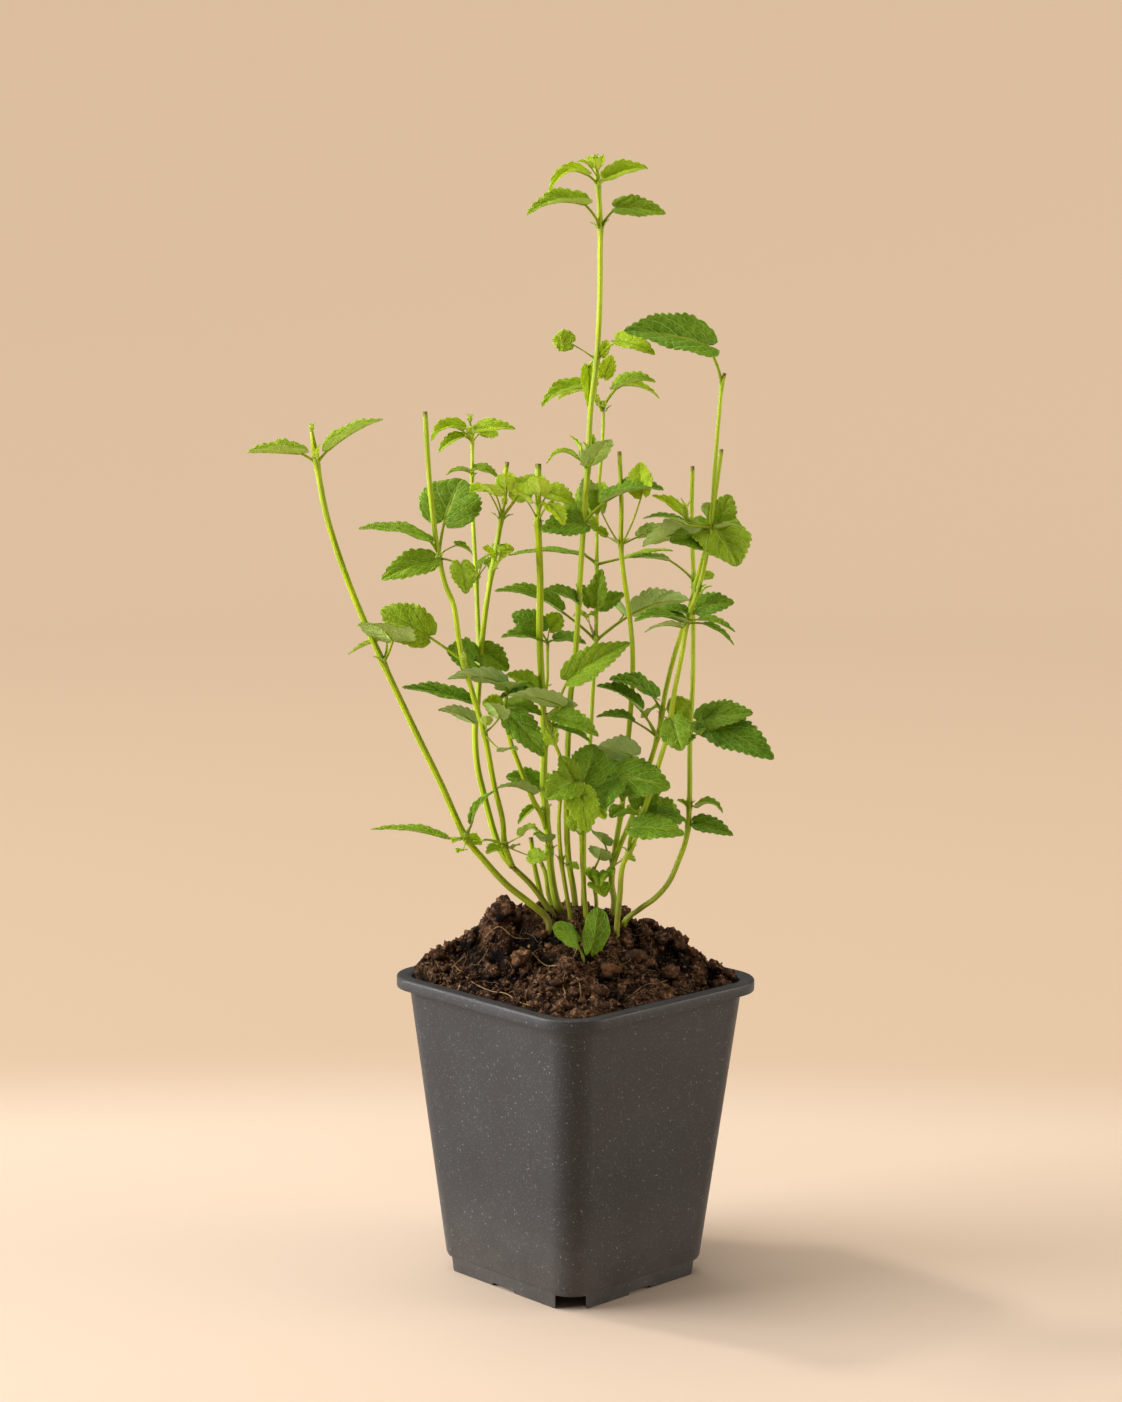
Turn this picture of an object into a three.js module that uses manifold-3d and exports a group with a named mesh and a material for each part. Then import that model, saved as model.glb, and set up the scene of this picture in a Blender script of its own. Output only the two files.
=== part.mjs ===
// Adder anise hyssop in a black nursery pot.
// A square tapered pot holds a mounded root ball, and about fifteen square mint stems stand in holes of
// their own in it, each with its leaves, buds and side shoots grown on.
// Millimetres, +Z up. The pot's sides run along X and Y, and the origin is on the floor under its centre.
import * as THREE from "three";
import { mergeVertices } from "three/addons/utils/BufferGeometryUtils.js";
import Module from "manifold-3d";

const wasm = await Module();
wasm.setup();

// Pot: 11 cm square at the rim and 12 cm tall
const RIM_HALF = 55;
const RIM_CORNER = 17.5;
const RIM_LIP = 4.5;
const POT_HEIGHT = 120;
const WALL = 1.6;
const WALL_TOP_HALF = 49.5;
const WALL_FOOT_HALF = 37.5;
const WALL_TOP_CORNER = 14;
const WALL_FOOT_CORNER = 12;
const FLOOR_RISE = 4.5;
const FLOOR_THICK = 1.6;
const FOOT_GAP = [10, 4.5];
const SIDE_GAP = [8.5, 1.2];
const PAD_RADIUS = 7;
const DRAIN_RADIUS = 4.5;
const DRAIN_REACH = 21;
const CORNER_STEPS = 4;

// Soil
const SOIL_EDGE = 117.5;
const SOIL_MOUND = 28;
const CRUMB = 1.3;
const CLEAR = 0.3;
const HOLE_CLEAR = 0.45;
const ROOT_DEPTH = 14;

// Stems: their flats stand a little inside the widths given below, and they are drawn in straight
// lengths of about this
const FLAT = 0.82;
const STEP = 19;

// Leaves and stalks
const BLADE = 0.6;
const STALK = 0.75;
const FINE_STALK = 0.6;
// Blades have two teeth a side from the first of these lengths, and one more from each of the others
const TOOTHED_FROM = [9.8, 16, 25];
// Crossing leaves leave slivers finer than this where they meet, which are smoothed away
const SLIVER = 0.04;

// Layout frame: x to the right, y away from the front, z up, turned to set a corner of the pot to the front
const PLANT_TURN = THREE.MathUtils.degToRad(-43.8);
const UP = new THREE.Vector3(0, 0, 1);
const place = ([x, y, z]) => new THREE.Vector3(x, y, z).applyAxisAngle(UP, PLANT_TURN);
const FRONT = place([0, -1, 0]);

// How a leaf lies: its halves fold up by the first number in degrees, and its midrib arches by the second,
// a share of its length.
const flat = [12, 0.06];
const open = [17, 0.08];
const half = [28, 0.11];
const shut = [46, 0.13];
const bow = [44, 0.3];

// Stems. route: points of the axis from the soil up. thick: half width at the foot and at the tip.
// leaves: [height of the node, start of the blade, tip of the blade, width, lean of its face to the
// front in degrees, how it lies]. A cut stem ends square, a live one in a bud.
const STEMS = {
  stem_far_left: {
    route: [[-11, -7, 144], [-17, -8, 150], [-27, -8, 158], [-36, -9, 168], [-43, -10, 177],
      [-53, -11, 199], [-64, -12, 222], [-75, -13, 246], [-87, -14, 274], [-96, -14, 301],
      [-100, -14, 322], [-102, -14, 334]],
    thick: [1.6, 1.1],
    live: true,
    leaves: [
      [322, [-107, -15, 327], [-127, -18, 327], 12, 0, shut],
      [322, [-96, -13, 327], [-75, -10, 339], 12, 0, shut],
      [322, [-99, -18, 325], [-98, -20, 330], 4, 40, half],
      [246, [-71, -17, 255], [-78, -38, 265], 21, 0, flat],
      [246, [-74, -9, 255], [-89, -6, 248], 9, 0, shut],
      [246, [-76, -16, 247], [-78, -20, 249], 3, 0, half],
      [177, [-50, -11, 177], [-80, -14, 181], 12, 20, half],
      [177, [-45, -14, 177], [-48, -20, 177], 5, 0, open],
      [177, [-44, -14, 173], [-46, -19, 173], 5, 0, open],
      [177, [-41, -7, 176], [-37, -3, 174], 6, 50, open],
      [177, [-41, -8, 182], [-31, -14, 197], 6, 60, shut],
    ],
  },
  stem_left_fork: {
    route: [[-8, -1, 142], [-12, -1, 149], [-18, -1, 157], [-25, -2, 164]],
    thick: [1.8, 1.4],
    shoots: [
      {
        route: [[-25, -2, 164], [-28, -4, 173], [-29, -7, 184], [-32, -10, 197], [-36, -14, 219],
          [-40, -16, 233], [-45, -16, 251], [-48, -15, 269], [-51, -14, 276], [-54, -13, 289],
          [-57, -12, 312], [-58, -12, 342]],
        thick: [1.3, 1],
        leaves: [
          [287, [-59, -14, 293], [-84, -20, 298], 14, 45, open],
          [286, [-56, -16, 286], [-75, -24, 279], 14, 45, open],
          [287, [-51, -6, 301], [-44, 12, 313], 25, 20, flat],
          [286, [-55, -17, 284], [-57, -22, 282], 5, 0, half],
          [286, [-47, -17, 284], [-45, -24, 274], 11, 0, open],
          [287, [-47, -10, 291], [-41, -7, 287], 7, 30, half],
          [247, [-54, -12, 255], [-75, -8, 265], 19, 60, open],
          [219, [-35, -17, 223], [-35, -22, 227], 5, 0, open],
          [219, [-30, -19, 226], [-34, -28, 233], 10, 0, open],
          [219, [-29, -21, 213], [-23, -29, 215], 7, 0, open],
          [173, [-30, -8, 172], [-35, -16, 172], 7, 20, half],
          [173, [-25, -5, 172], [-22, -8, 174], 4, 0, half],
          [173, [-21, -9, 178], [-15, -12, 180], 7, 0, bow],
          [173, [-18, -10, 170], [-11, -14, 170], 7, 60, open],
          [173, [-31, -9, 175], [-38, -14, 176], 3, 0, half],
        ],
      },
      {
        route: [[-25, -2, 164], [-29, -1, 169], [-32, 1, 176], [-36, 3, 190], [-39, 3, 203],
          [-40, 3, 217], [-39, 3, 229], [-38, 3, 246], [-36, 2, 265], [-34, 1, 278], [-32, 1, 289],
          [-30, 2, 301], [-29, 2, 306]],
        thick: [1.6, 1.1],
        live: true,
        leaves: [
          [300, [-36, -1, 312], [-42, -9, 311], 8, 20, open],
          [301, [-32, -7, 310], [-37, -17, 315], 9, 0, open],
          [301, [-28, -6, 312], [-29, -17, 319], 8, 0, open],
          [301, [-28, 8, 311], [-29, 17, 317], 9, 30, open],
          [301, [-24, -3, 310], [-23, -13, 315], 6, 0, half],
          [300, [-24, 7, 308], [-17, 17, 316], 10, 40, open],
          [303, [-29, 2, 315], [-28, 5, 323], 3.5, 10, shut],
          [288, [-33, -4, 286], [-37, -8, 290], 7, 50, open],
          [288, [-30, -2, 288], [-25, -4, 289], 6, 60, open],
          [280, [-32, -3, 282], [-28, -9, 287], 7, 40, open],
          [228, [-42, -2, 229], [-68, -8, 236], 15, 30, shut],
          [224, [-40, -3, 222], [-54, -14, 228], 12, -40, half],
          [240, [-43, -1, 242], [-51, -6, 251], 15, 60, open],
          [240, [-34, 6, 241], [-27, 8, 250], 16, 50, open],
        ],
      },
      {
        route: [[-38, 3, 246], [-39, 6, 256], [-40, 11, 275], [-41, 16, 290], [-42, 20, 306],
          [-42, 21, 321], [-42, 21, 328], [-43, 21, 337]],
        thick: [1.3, 0.8],
        live: true,
        leaves: [
          [328, [-46, 20, 333], [-58, 16, 329], 10, 30, bow],
          [328, [-45, 17, 331], [-55, 10, 325], 7, 20, half],
          [328, [-41, 20, 333], [-25, 16, 334], 10, 50, half],
          [328, [-39, 24, 332], [-31, 32, 330], 9, 60, open],
          [328, [-43, 16, 332], [-42, 12, 335], 4, 0, shut],
          [315, [-43, 18, 317], [-50, 14, 316], 5, 0, shut],
          [315, [-41, 20, 318], [-34, 18, 315], 7, 50, half],
          [275, [-38, 8, 281], [-35, 3, 286], 6, 30, half],
          [275, [-36, 14, 281], [-32, 20, 282], 5, 20, half],
        ],
      },
    ],
  },
  stem_centre_left: {
    route: [[-5, 6, 141], [-8, 5, 150], [-10, 5, 161], [-11, 5, 174], [-13, 5, 193], [-13, 5, 213],
      [-14, 4, 233], [-15, 3, 253], [-15, 1, 277], [-16, -5, 300], [-16, -6, 306]],
    thick: [2, 1.7],
    live: true,
    leaves: [
      [300, [-17, 1, 311], [-17, 12, 316], 9, 30, open],
      [300, [-20, -10, 308], [-25, -15, 312], 7, 20, half],
      [300, [-15, -13, 311], [-16, -24, 318], 9, 0, open],
      [300, [-11, -5, 311], [-1, -9, 310], 13, 40, open],
      [299, [-12, -12, 307], [-8, -23, 303], 10, 0, open],
      [304, [-17, -9, 313], [-17, -15, 318], 6, 0, half],
      [303, [-16, -6, 315], [-16, -3, 322], 5, 10, shut],
      [233, [-17, 2, 235], [-27, -4, 242], 11, -50, half],
      [233, [-17, -2, 231], [-30, -11, 232], 12, 25, shut],
      [212, [-12, 2, 216], [-8, -2, 213], 9, 50, open],
      [196, [-15, 7, 198], [-28, 5, 202], 16, 60, open],
      [195, [-17, -7, 194], [-31, -17, 198], 10, -20, half],
      [193, [-13, 9, 195], [-9, 14, 197], 7, 40, half],
      [185, [-17, 2, 187], [-23, -2, 181], 5, 30, shut],
      [173, [-12, 2, 175], [-17, -3, 177], 5, 20, half],
      [169, [-12, 0, 174], [-12, -8, 178], 8, 0, open],
      [169, [-13, 0, 168], [-11, -8, 170], 7, 0, open],
    ],
    shoots: [
      {
        route: [[-12, 5, 178], [-14, 3, 184], [-17, 0, 190], [-22, -3, 203], [-26, -5, 214],
          [-28, -6, 223], [-30, -6, 229]],
        thick: [1.4, 1.2],
        leaves: [
          [226, [-31, -6, 227], [-37, -8, 230], 11, 55, open],
          [227, [-27, -2, 229], [-16, -5, 227], 10, 30, half],
          [224, [-27, -10, 225], [-14, -20, 211], 16, 40, open],
          [226, [-31, -18, 236], [-50, -40, 242], 17, 0, flat],
          [226, [-27, -9, 236], [-23, -26, 241], 13, 0, flat],
        ],
      },
      {
        route: [[-13, 5, 229], [-12, 7, 237], [-12, 8, 244], [-12, 9, 252]],
        thick: [0.9, 0.8],
        leaves: [
          [251, [-15, 10, 257], [-26, 14, 263], 15, 55, open],
          [251, [-11, 12, 257], [-6, 16, 260], 12, 50, open],
          [251, [-16, 7, 254], [-28, 2, 258], 11, 25, half],
          [251, [-9, 7, 254], [0, 3, 253], 11, 30, half],
        ],
      },
    ],
  },
  stem_tallest: {
    route: [[0, 2, 144], [-1, 1, 154], [-3, 0, 166], [-4, 0, 182], [-4, -1, 202], [-3, -2, 230],
      [-1, -3, 250], [0, -4, 270], [1, -4, 289], [2, -3, 306], [3, -2, 320], [4, -1, 344],
      [6, 0, 361], [7, 0, 384], [7, 0, 403], [7, 0, 411], [6, 0, 427], [5, 0, 436]],
    thick: [1.6, 1],
    live: true,
    leaves: [
      [427, [2, -2, 431], [-13, -8, 424], 8, 10, bow],
      [427, [9, 2, 430], [25, 6, 434], 11, 45, half],
      [430, [3, -3, 434], [-2, -6, 436], 4, 20, shut],
      [431, [4, 4, 435], [2, 9, 438], 4, 20, shut],
      [432, [7, 3, 435], [8, 5, 439], 3, 20, shut],
      [432, [5, -4, 434], [4, -9, 437], 5, 0, half],
      [411, [1, -3, 420], [-21, -10, 416], 13, 25, shut],
      [411, [13, 2, 419], [32, 5, 417], 14, 55, open],
      [361, [-3, 1, 368], [-10, 2, 369], 9, 70, open],
      [361, [14, -2, 369], [28, -8, 364], 9, 45, half],
      [361, [8, 4, 365], [10, 8, 368], 5, 30, half],
      [361, [5, -6, 358], [2, -14, 343], 9, 0, half],
      [361, [9, 7, 357], [12, 12, 363], 8, 40, open],
      [320, [-1, -2, 324], [-13, -4, 322], 5, 10, bow],
      [320, [0, -3, 325], [-4, -5, 333], 4, 40, shut],
      [320, [2, -7, 325], [1, -11, 331], 3.5, 40, shut],
      [320, [4, 3, 326], [5, 6, 333], 4, 30, shut],
      [321, [5, -7, 323], [13, -30, 329], 15, 0, flat],
      [299, [1, -5, 299], [-15, -10, 297], 13, 50, open],
      [299, [0, -2, 301], [-7, 2, 305], 12, 50, open],
      [299, [4, -1, 299], [6, 3, 301], 6, 50, open],
      [269, [-1, -5, 269], [-14, -10, 274], 9, 35, half],
    ],
  },
  stem_centre_back: {
    route: [[3, 9, 144], [3, 10, 156], [3, 12, 176], [4, 14, 196], [5, 15, 210], [6, 16, 232],
      [7, 16, 251], [7, 17, 267], [7, 17, 281], [7, 17, 303], [8, 16, 318], [9, 15, 334],
      [9, 15, 343]],
    thick: [1.4, 0.8],
    live: true,
    leaves: [
      [342, [14, 13, 350], [29, 8, 353], 10, 30, shut],
      [342, [15, 18, 351], [31, 20, 346], 6, 20, shut],
      [342, [1, 16, 350], [-15, 10, 343], 11, 20, shut],
      [342, [3, 20, 349], [-9, 24, 345], 7, -30, half],
      [341, [6, 12, 345], [4, 8, 349], 4, 0, half],
      [304, [11, 16, 307], [32, 10, 312], 13, 40, half],
      [304, [3, 18, 302], [2, 24, 313], 11, 50, open],
      [304, [9, 21, 305], [9, 25, 313], 10, 40, open],
      [304, [4, 10, 306], [1, 2, 315], 6, 0, open],
      [281, [2, 16, 285], [-28, 12, 285], 13, 8, open],
      [281, [19, 18, 284], [37, 16, 287], 12, 8, half],
      [264, [7, 12, 266], [9, 12, 280], 12, 70, open],
      [264, [5, 14, 266], [2, 16, 274], 9, 60, half],
      [264, [9, 15, 265], [17, 14, 271], 10, 65, open],
      [251, [-7, 15, 263], [-33, 12, 271], 14, 30, half],
      [251, [3, 17, 260], [-2, 20, 260], 4, 20, bow],
      [251, [4, 13, 261], [7, 10, 261], 4, 20, bow],
      [252, [18, 21, 261], [8, 25, 267], 12, -30, open],
      [251, [24, 16, 261], [45, 21, 268], 14, -35, half],
    ],
  },
  stem_right_fork: {
    route: [[14, 0, 142], [15, 1, 150], [14, 2, 156], [14, 2, 163]],
    thick: [1.6, 1.6],
    leaves: [
      [163, [11, 0, 173], [6, -10, 180], 9, 10, open],
      [163, [19, 1, 167], [23, -4, 167], 5, 20, half],
    ],
    shoots: [
      {
        route: [[14, 2, 163], [16, 3, 176], [18, 3, 190], [19, 3, 204], [20, 2, 217], [21, 0, 234],
          [21, -2, 250], [19, -3, 268], [17, -4, 281], [16, -5, 291], [16, -5, 308], [15, -5, 327]],
        thick: [1.5, 1.1],
        leaves: [
          [291, [10, 8, 304], [8, 11, 313], 5, 40, half],
          [291, [10, 3, 294], [4, 4, 297], 5, 40, half],
          [291, [23, -9, 307], [22, -4, 323], 13, 30, open],
          [291, [23, 0, 294], [31, -2, 294], 13, -40, half],
          [189, [13, -1, 200], [10, 3, 208], 13, 40, open],
          [190, [16, -7, 201], [36, -13, 198], 17, 50, open],
          [189, [14, -9, 198], [10, -22, 191], 13, 0, open],
          [190, [20, 9, 200], [23, 17, 205], 11, 30, open],
          [194, [21, -4, 209], [8, -7, 213], 14, -60, open],
          [185, [18, -1, 187], [13, -8, 185], 9, 20, open],
          [185, [20, 0, 187], [25, -4, 185], 7, 20, open],
        ],
      },
      {
        route: [[14, 2, 163], [17, 1, 172], [22, 0, 185], [25, 1, 196], [29, 2, 207], [32, 3, 219],
          [34, 4, 232], [38, 5, 249], [43, 7, 265], [47, 9, 280], [51, 11, 296], [53, 12, 311],
          [55, 13, 327]],
        thick: [1.4, 1.1],
        leaves: [
          [215, [22, -2, 222], [7, -10, 225], 7, 30, half],
          [215, [24, -3, 227], [7, -9, 237], 11, 30, half],
          [215, [27, 5, 223], [32, -2, 228], 7, 20, half],
          [224, [29, -2, 232], [12, -5, 239], 13, 30, half],
          [275, [49, 13, 277], [53, 16, 278], 5, 40, open],
        ],
      },
    ],
  },
  stem_right_tall: {
    route: [[16, -7, 142], [17, -8, 154], [18, -8, 166], [22, -8, 175], [25, -8, 185], [28, -8, 194],
      [32, -8, 208], [35, -8, 219], [37, -7, 233], [40, -6, 249], [42, -5, 262], [46, -4, 274],
      [49, -3, 287], [51, -2, 305], [52, -2, 326], [53, -2, 341], [54, -2, 353], [55, -2, 357]],
    thick: [1.5, 1],
    leaves: [
      [352, [48, -4, 367], [16, -14, 373], 19, 55, open],
      [297, [54, 0, 299], [60, 8, 310], 14, 30, open],
      [297, [51, -7, 297], [60, -20, 283], 20, 0, open],
      [297, [54, -4, 298], [64, -9, 298], 10, 0, half],
      [297, [45, -5, 296], [24, -14, 291], 14, -25, half],
      [297, [46, -9, 293], [36, -18, 294], 11, 35, half],
      [298, [50, -6, 301], [49, -10, 305], 5, 0, open],
      [299, [44, -8, 305], [43, -12, 310], 5, 30, open],
      [298, [40, -5, 303], [28, -7, 311], 9, 45, shut],
      [298, [41, -10, 301], [23, -17, 303], 8, 15, shut],
      [273, [47, -6, 273], [51, -9, 276], 3, 20, half],
      [263, [46, -1, 267], [58, -3, 271], 13, 60, open],
      [262, [40, -8, 263], [21, -16, 266], 15, 30, half],
      [263, [40, -5, 266], [27, -2, 269], 14, 50, open],
      [262, [40, -10, 260], [25, -18, 259], 6, -20, half],
      [262, [46, -9, 263], [60, -15, 259], 8, 20, half],
      [261, [48, -5, 261], [60, -9, 253], 7, 20, half],
      [225, [38, -3, 226], [44, -2, 230], 13, 70, flat],
      [223, [37, -11, 223], [40, -16, 213], 14, 45, open],
      [186, [29, -6, 188], [41, -6, 183], 14, 45, open],
      [187, [25, -5, 190], [28, -3, 202], 13, 60, open],
      [172, [23, -13, 178], [41, -22, 182], 16, 40, open],
    ],
  },
  stem_right_arch: {
    route: [[19, -2, 142], [25, -4, 148], [31, -6, 153], [36, -6, 159], [40, -5, 168], [43, -3, 177],
      [44, 0, 193], [44, 5, 213], [45, 10, 237], [45, 14, 257], [45, 16, 275], [44, 17, 299],
      [44, 17, 320]],
    thick: [1.5, 1.1],
    leaves: [
      [275, [35, 9, 283], [21, 3, 284], 7, 10, half],
      [220, [48, 2, 222], [68, -4, 226], 14, 50, open],
      [219, [50, 0, 221], [76, -10, 209], 18, 45, open],
      [218, [46, 0, 219], [47, -9, 218], 8, 0, open],
      [218, [42, 2, 216], [42, -9, 214], 9, 0, open],
      [189, [43, 0, 188], [39, -1, 191], 4, 30, half],
      [189, [47, -1, 188], [57, -4, 187], 8, 20, bow],
      [181, [45, -2, 181], [61, -6, 178], 11, 50, half],
    ],
  },
  stem_inner: {
    route: [[-2, -4, 143], [-4, -5, 155], [-6, -6, 168], [-7, -8, 184], [-6, -8, 206],
      [-10, -8, 217], [-12, -8, 226]],
    thick: [1.2, 0.9],
    leaves: [
      [225, [-15, -12, 229], [-29, -22, 235], 13, -35, open],
      [225, [-8, -7, 228], [0, -12, 230], 9, -40, open],
      [225, [-9, -12, 225], [8, -20, 219], 13, 35, half],
      [223, [-9, -11, 221], [5, -16, 216], 9, 20, half],
      [217, [-4, -12, 237], [19, -6, 253], 19, 60, open],
      [167, [-3, -7, 166], [1, -10, 165], 5, 20, open],
    ],
  },
  stem_middle: {
    route: [[4, -4, 143], [3, -6, 156], [2, -8, 172], [2, -10, 188], [1, -11, 198]],
    thick: [1.3, 1.1],
    leaves: [
      [197, [3, -11, 201], [6, -3, 212], 15, 30, open],
      [197, [-2, -14, 202], [-7, -13, 210], 9, 60, open],
      [197, [-2, -15, 200], [-12, -23, 195], 16, 40, open],
      [197, [1, -17, 197], [4, -29, 184], 13, 0, open],
      [192, [4, -12, 193], [11, -16, 186], 10, 30, open],
      [178, [0, -12, 182], [0, -10, 190], 8, 10, flat],
    ],
  },
  low_sprout: {
    route: [[8, 5, 142], [8, 5, 149], [7, 5, 157], [7, 4, 163]],
    thick: [1.2, 0.9],
    leaves: [
      [162, [9, 1, 167], [9, -13, 174], 10, 20, flat],
      [157, [9, -3, 162], [9, -11, 158], 7, 0, half],
      [157, [11, -1, 159], [15, -6, 163], 9, 40, open],
      [155, [8, -3, 157], [11, -10, 154], 10, 0, open],
      [156, [6, 6, 158], [3, 8, 161], 6, 30, bow],
    ],
  },
  stub_left: {
    route: [[-12, 10, 143], [-14, 9, 151], [-17, 7, 165], [-18, 7, 174]],
    thick: [1.4, 1.3],
  },
  stub_brown: {
    route: [[-9, 14, 143], [-11, 13, 150], [-12, 12, 158], [-14, 12, 163]],
    thick: [1.4, 1.2],
  },
  basal_leaf_left: {
    route: [[3, -17, 130], [2, -17, 134], [0, -18, 136]],
    thick: [0.9, 0.8],
    smooth: true,
    leaves: [[135, [0, -18, 136], [-9, -22, 145], 10, 40, flat]],
  },
  basal_leaf_right: {
    route: [[7, -14, 129], [7, -15, 131], [6, -16, 133]],
    thick: [0.9, 0.8],
    smooth: true,
    leaves: [[132, [6, -16, 133], [9, -13, 150], 12, 60, flat]],
  },
};

// Closed solids from points and triangles
function solid(points, triangles) {
  const geometry = new THREE.BufferGeometry().setFromPoints(points);
  geometry.setIndex(triangles.flat());
  const merged = mergeVertices(geometry, 1e-4);
  const corners = merged.index.array;
  const kept = [];
  for (let k = 0; k < corners.length; k += 3) {
    const [a, b, c] = corners.slice(k, k + 3);
    if (a !== b && b !== c && c !== a) kept.push(a, b, c);
  }
  return new wasm.Manifold(
    new wasm.Mesh({
      numProp: 3,
      vertProperties: new Float32Array(merged.attributes.position.array),
      triVerts: new Uint32Array(kept),
    }),
  );
}

const joined = (solids) => solids.reduce((a, b) => a.add(b));

// The outer skin of a fused piece: small pockets that its leaves close off between them are filled
function whole(body) {
  const skins = body.decompose().sort((a, b) => b.volume() - a.volume());
  if (skins.length > 1 && skins[1].volume() > 0) throw new Error("a leaf or shoot is loose");
  return skins[0].simplify(SLIVER);
}

// Skins a stack of rings of equal length and closes both ends. Rings run anticlockwise seen from the end.
function loft(rings) {
  const n = rings[0].length;
  const points = rings.flat();
  const faces = [];
  for (let k = 0; k < rings.length - 1; k++) {
    for (let i = 0; i < n; i++) {
      const a = k * n + i;
      const b = k * n + ((i + 1) % n);
      faces.push([a, b, b + n], [a, b + n, a + n]);
    }
  }
  const last = (rings.length - 1) * n;
  for (let i = 1; i < n - 1; i++) faces.push([0, i + 1, i], [last, last + i, last + i + 1]);
  return solid(points, faces);
}

// A square with round corners, as a ring at height z. cuts: extra points along each side.
function squareRing(halfSide, corner, z, steps = CORNER_STEPS, cuts = 0) {
  const ring = [];
  for (let side = 0; side < 4; side++) {
    const turn = (side * Math.PI) / 2;
    const straight = halfSide - corner;
    for (let k = 0; k <= steps; k++) {
      const a = ((k / steps) * Math.PI) / 2;
      ring.push([straight + corner * Math.cos(a), straight + corner * Math.sin(a), turn]);
    }
    for (let k = 1; k <= cuts; k++) ring.push([straight * (1 - (2 * k) / (cuts + 1)), halfSide, turn]);
  }
  return ring.map(([x, y, turn]) => new THREE.Vector3(x, y, z).applyAxisAngle(UP, turn));
}

// An upright prism over a flat outline
const prism = (outline, z0, z1) =>
  loft([z0, z1].map((z) => outline.map(([x, y]) => new THREE.Vector3(x, y, z))));

function disc(x, y, radius, sides) {
  return Array.from({ length: sides }, (_, i) => {
    const a = (i / sides) * 2 * Math.PI;
    return [x + radius * Math.cos(a), y + radius * Math.sin(a)];
  });
}

// A bar of the given width that runs out from the centre along an angle
function bar(width, from, to, angle) {
  return [[from, -width / 2], [to, -width / 2], [to, width / 2], [from, width / 2]].map(([x, y]) => [
    x * Math.cos(angle) - y * Math.sin(angle),
    x * Math.sin(angle) + y * Math.cos(angle),
  ]);
}

// Pot
const wallAt = (z) => THREE.MathUtils.mapLinear(z, 0, POT_HEIGHT, WALL_FOOT_HALF, WALL_TOP_HALF);
const cornerAt = (z) => THREE.MathUtils.mapLinear(z, 0, POT_HEIGHT, WALL_FOOT_CORNER, WALL_TOP_CORNER);

function makePot() {
  const outside = (z, out = 0) => squareRing(wallAt(z) + out, cornerAt(z) + out, z);
  const rim = (inset, z) => squareRing(RIM_HALF - inset, RIM_CORNER - inset, z);
  const floorTop = FLOOR_RISE + FLOOR_THICK;
  const lipFoot = POT_HEIGHT - RIM_LIP;
  const shell = loft([
    outside(FLOOR_RISE, -WALL),
    outside(0.4, -WALL),
    outside(0, -WALL + 0.3),
    outside(0, -0.3),
    outside(0.4),
    outside(POT_HEIGHT - WALL),
    rim(WALL, POT_HEIGHT - WALL),
    rim(WALL, lipFoot),
    rim(0, lipFoot),
    rim(0, POT_HEIGHT - 0.8),
    rim(0.8, POT_HEIGHT),
    outside(POT_HEIGHT, -0.8),
    outside(POT_HEIGHT - 1, -WALL),
    outside(floorTop, -WALL),
  ]);
  const feet = [];
  for (let k = 0; k < 4; k++) {
    const side = (k * Math.PI) / 2;
    feet.push(prism(bar(SIDE_GAP[0], 20, 60, side), -1, SIDE_GAP[1]));
    feet.push(prism(bar(FOOT_GAP[0], 30, 80, side + Math.PI / 4), -1, FOOT_GAP[1]));
    const reach = DRAIN_REACH;
    feet.push(
      prism(disc(reach * Math.cos(side), reach * Math.sin(side), DRAIN_RADIUS, 10), 1, floorTop + 1),
    );
  }
  const pad = prism(disc(0, 0, PAD_RADIUS, 16), 0, FLOOR_RISE + 0.5);
  return shell.subtract(joined(feet)).add(pad);
}

// Repeatable random numbers from 0 to 1
function dice(seed) {
  let state = seed;
  return () => {
    state = (state * 1664525 + 1013904223) % 4294967296;
    return state / 4294967296;
  };
}

// Soil. Along its ridge from left to right the mound has these shares of its height, and it falls to the
// rim in front of the ridge and behind it.
const RIDGE = [[-72, 0], [-66, 0.14], [-58, 0.34], [-48, 0.56], [-34, 0.93], [-28, 1], [0, 0.95],
  [20, 0.86], [38, 0.66], [46, 0.42], [64, 0.12], [72, 0]];

function ridgeAt(x) {
  const k = RIDGE.findIndex(([end]) => x < end);
  if (k < 1) return 0;
  const [[x0, h0], [x1, h1]] = RIDGE.slice(k - 1, k + 1);
  return THREE.MathUtils.mapLinear(x, x0, x1, h0, h1);
}

function soilHeight(point) {
  const { x, y } = point.clone().applyAxisAngle(UP, -PLANT_TURN);
  const reach = y / Math.max(70 - Math.abs(x), 6);
  const fall = reach < 0 ? 1 / (1 + (reach / 0.27) ** 2) : Math.max(0, 1 - reach ** 2);
  return SOIL_EDGE + SOIL_MOUND * ridgeAt(x) * fall;
}

function makeSoil(roots) {
  const roll = dice(7);
  const floor = FLOOR_RISE + FLOOR_THICK + CLEAR;
  const inside = (z) => wallAt(z) - WALL - CLEAR;
  const edge = squareRing(inside(SOIL_EDGE), cornerAt(SOIL_EDGE) - WALL, SOIL_EDGE, 3, 4);
  const foot = squareRing(inside(floor), cornerAt(floor) - WALL, floor, 3, 4);
  const rings = [foot, edge];
  for (const share of [0.92, 0.82, 0.71, 0.6, 0.48, 0.36, 0.24, 0.1]) {
    rings.push(
      edge.map((p) => {
        const q = p.clone().multiplyScalar(share);
        q.z = soilHeight(q) + CRUMB * (2 * roll() - 1);
        return q;
      }),
    );
  }
  const mound = loft(rings).subtract(joined(roots));
  const bodies = mound.decompose();
  return bodies.sort((a, b) => b.volume() - a.volume())[0];
}

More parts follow.
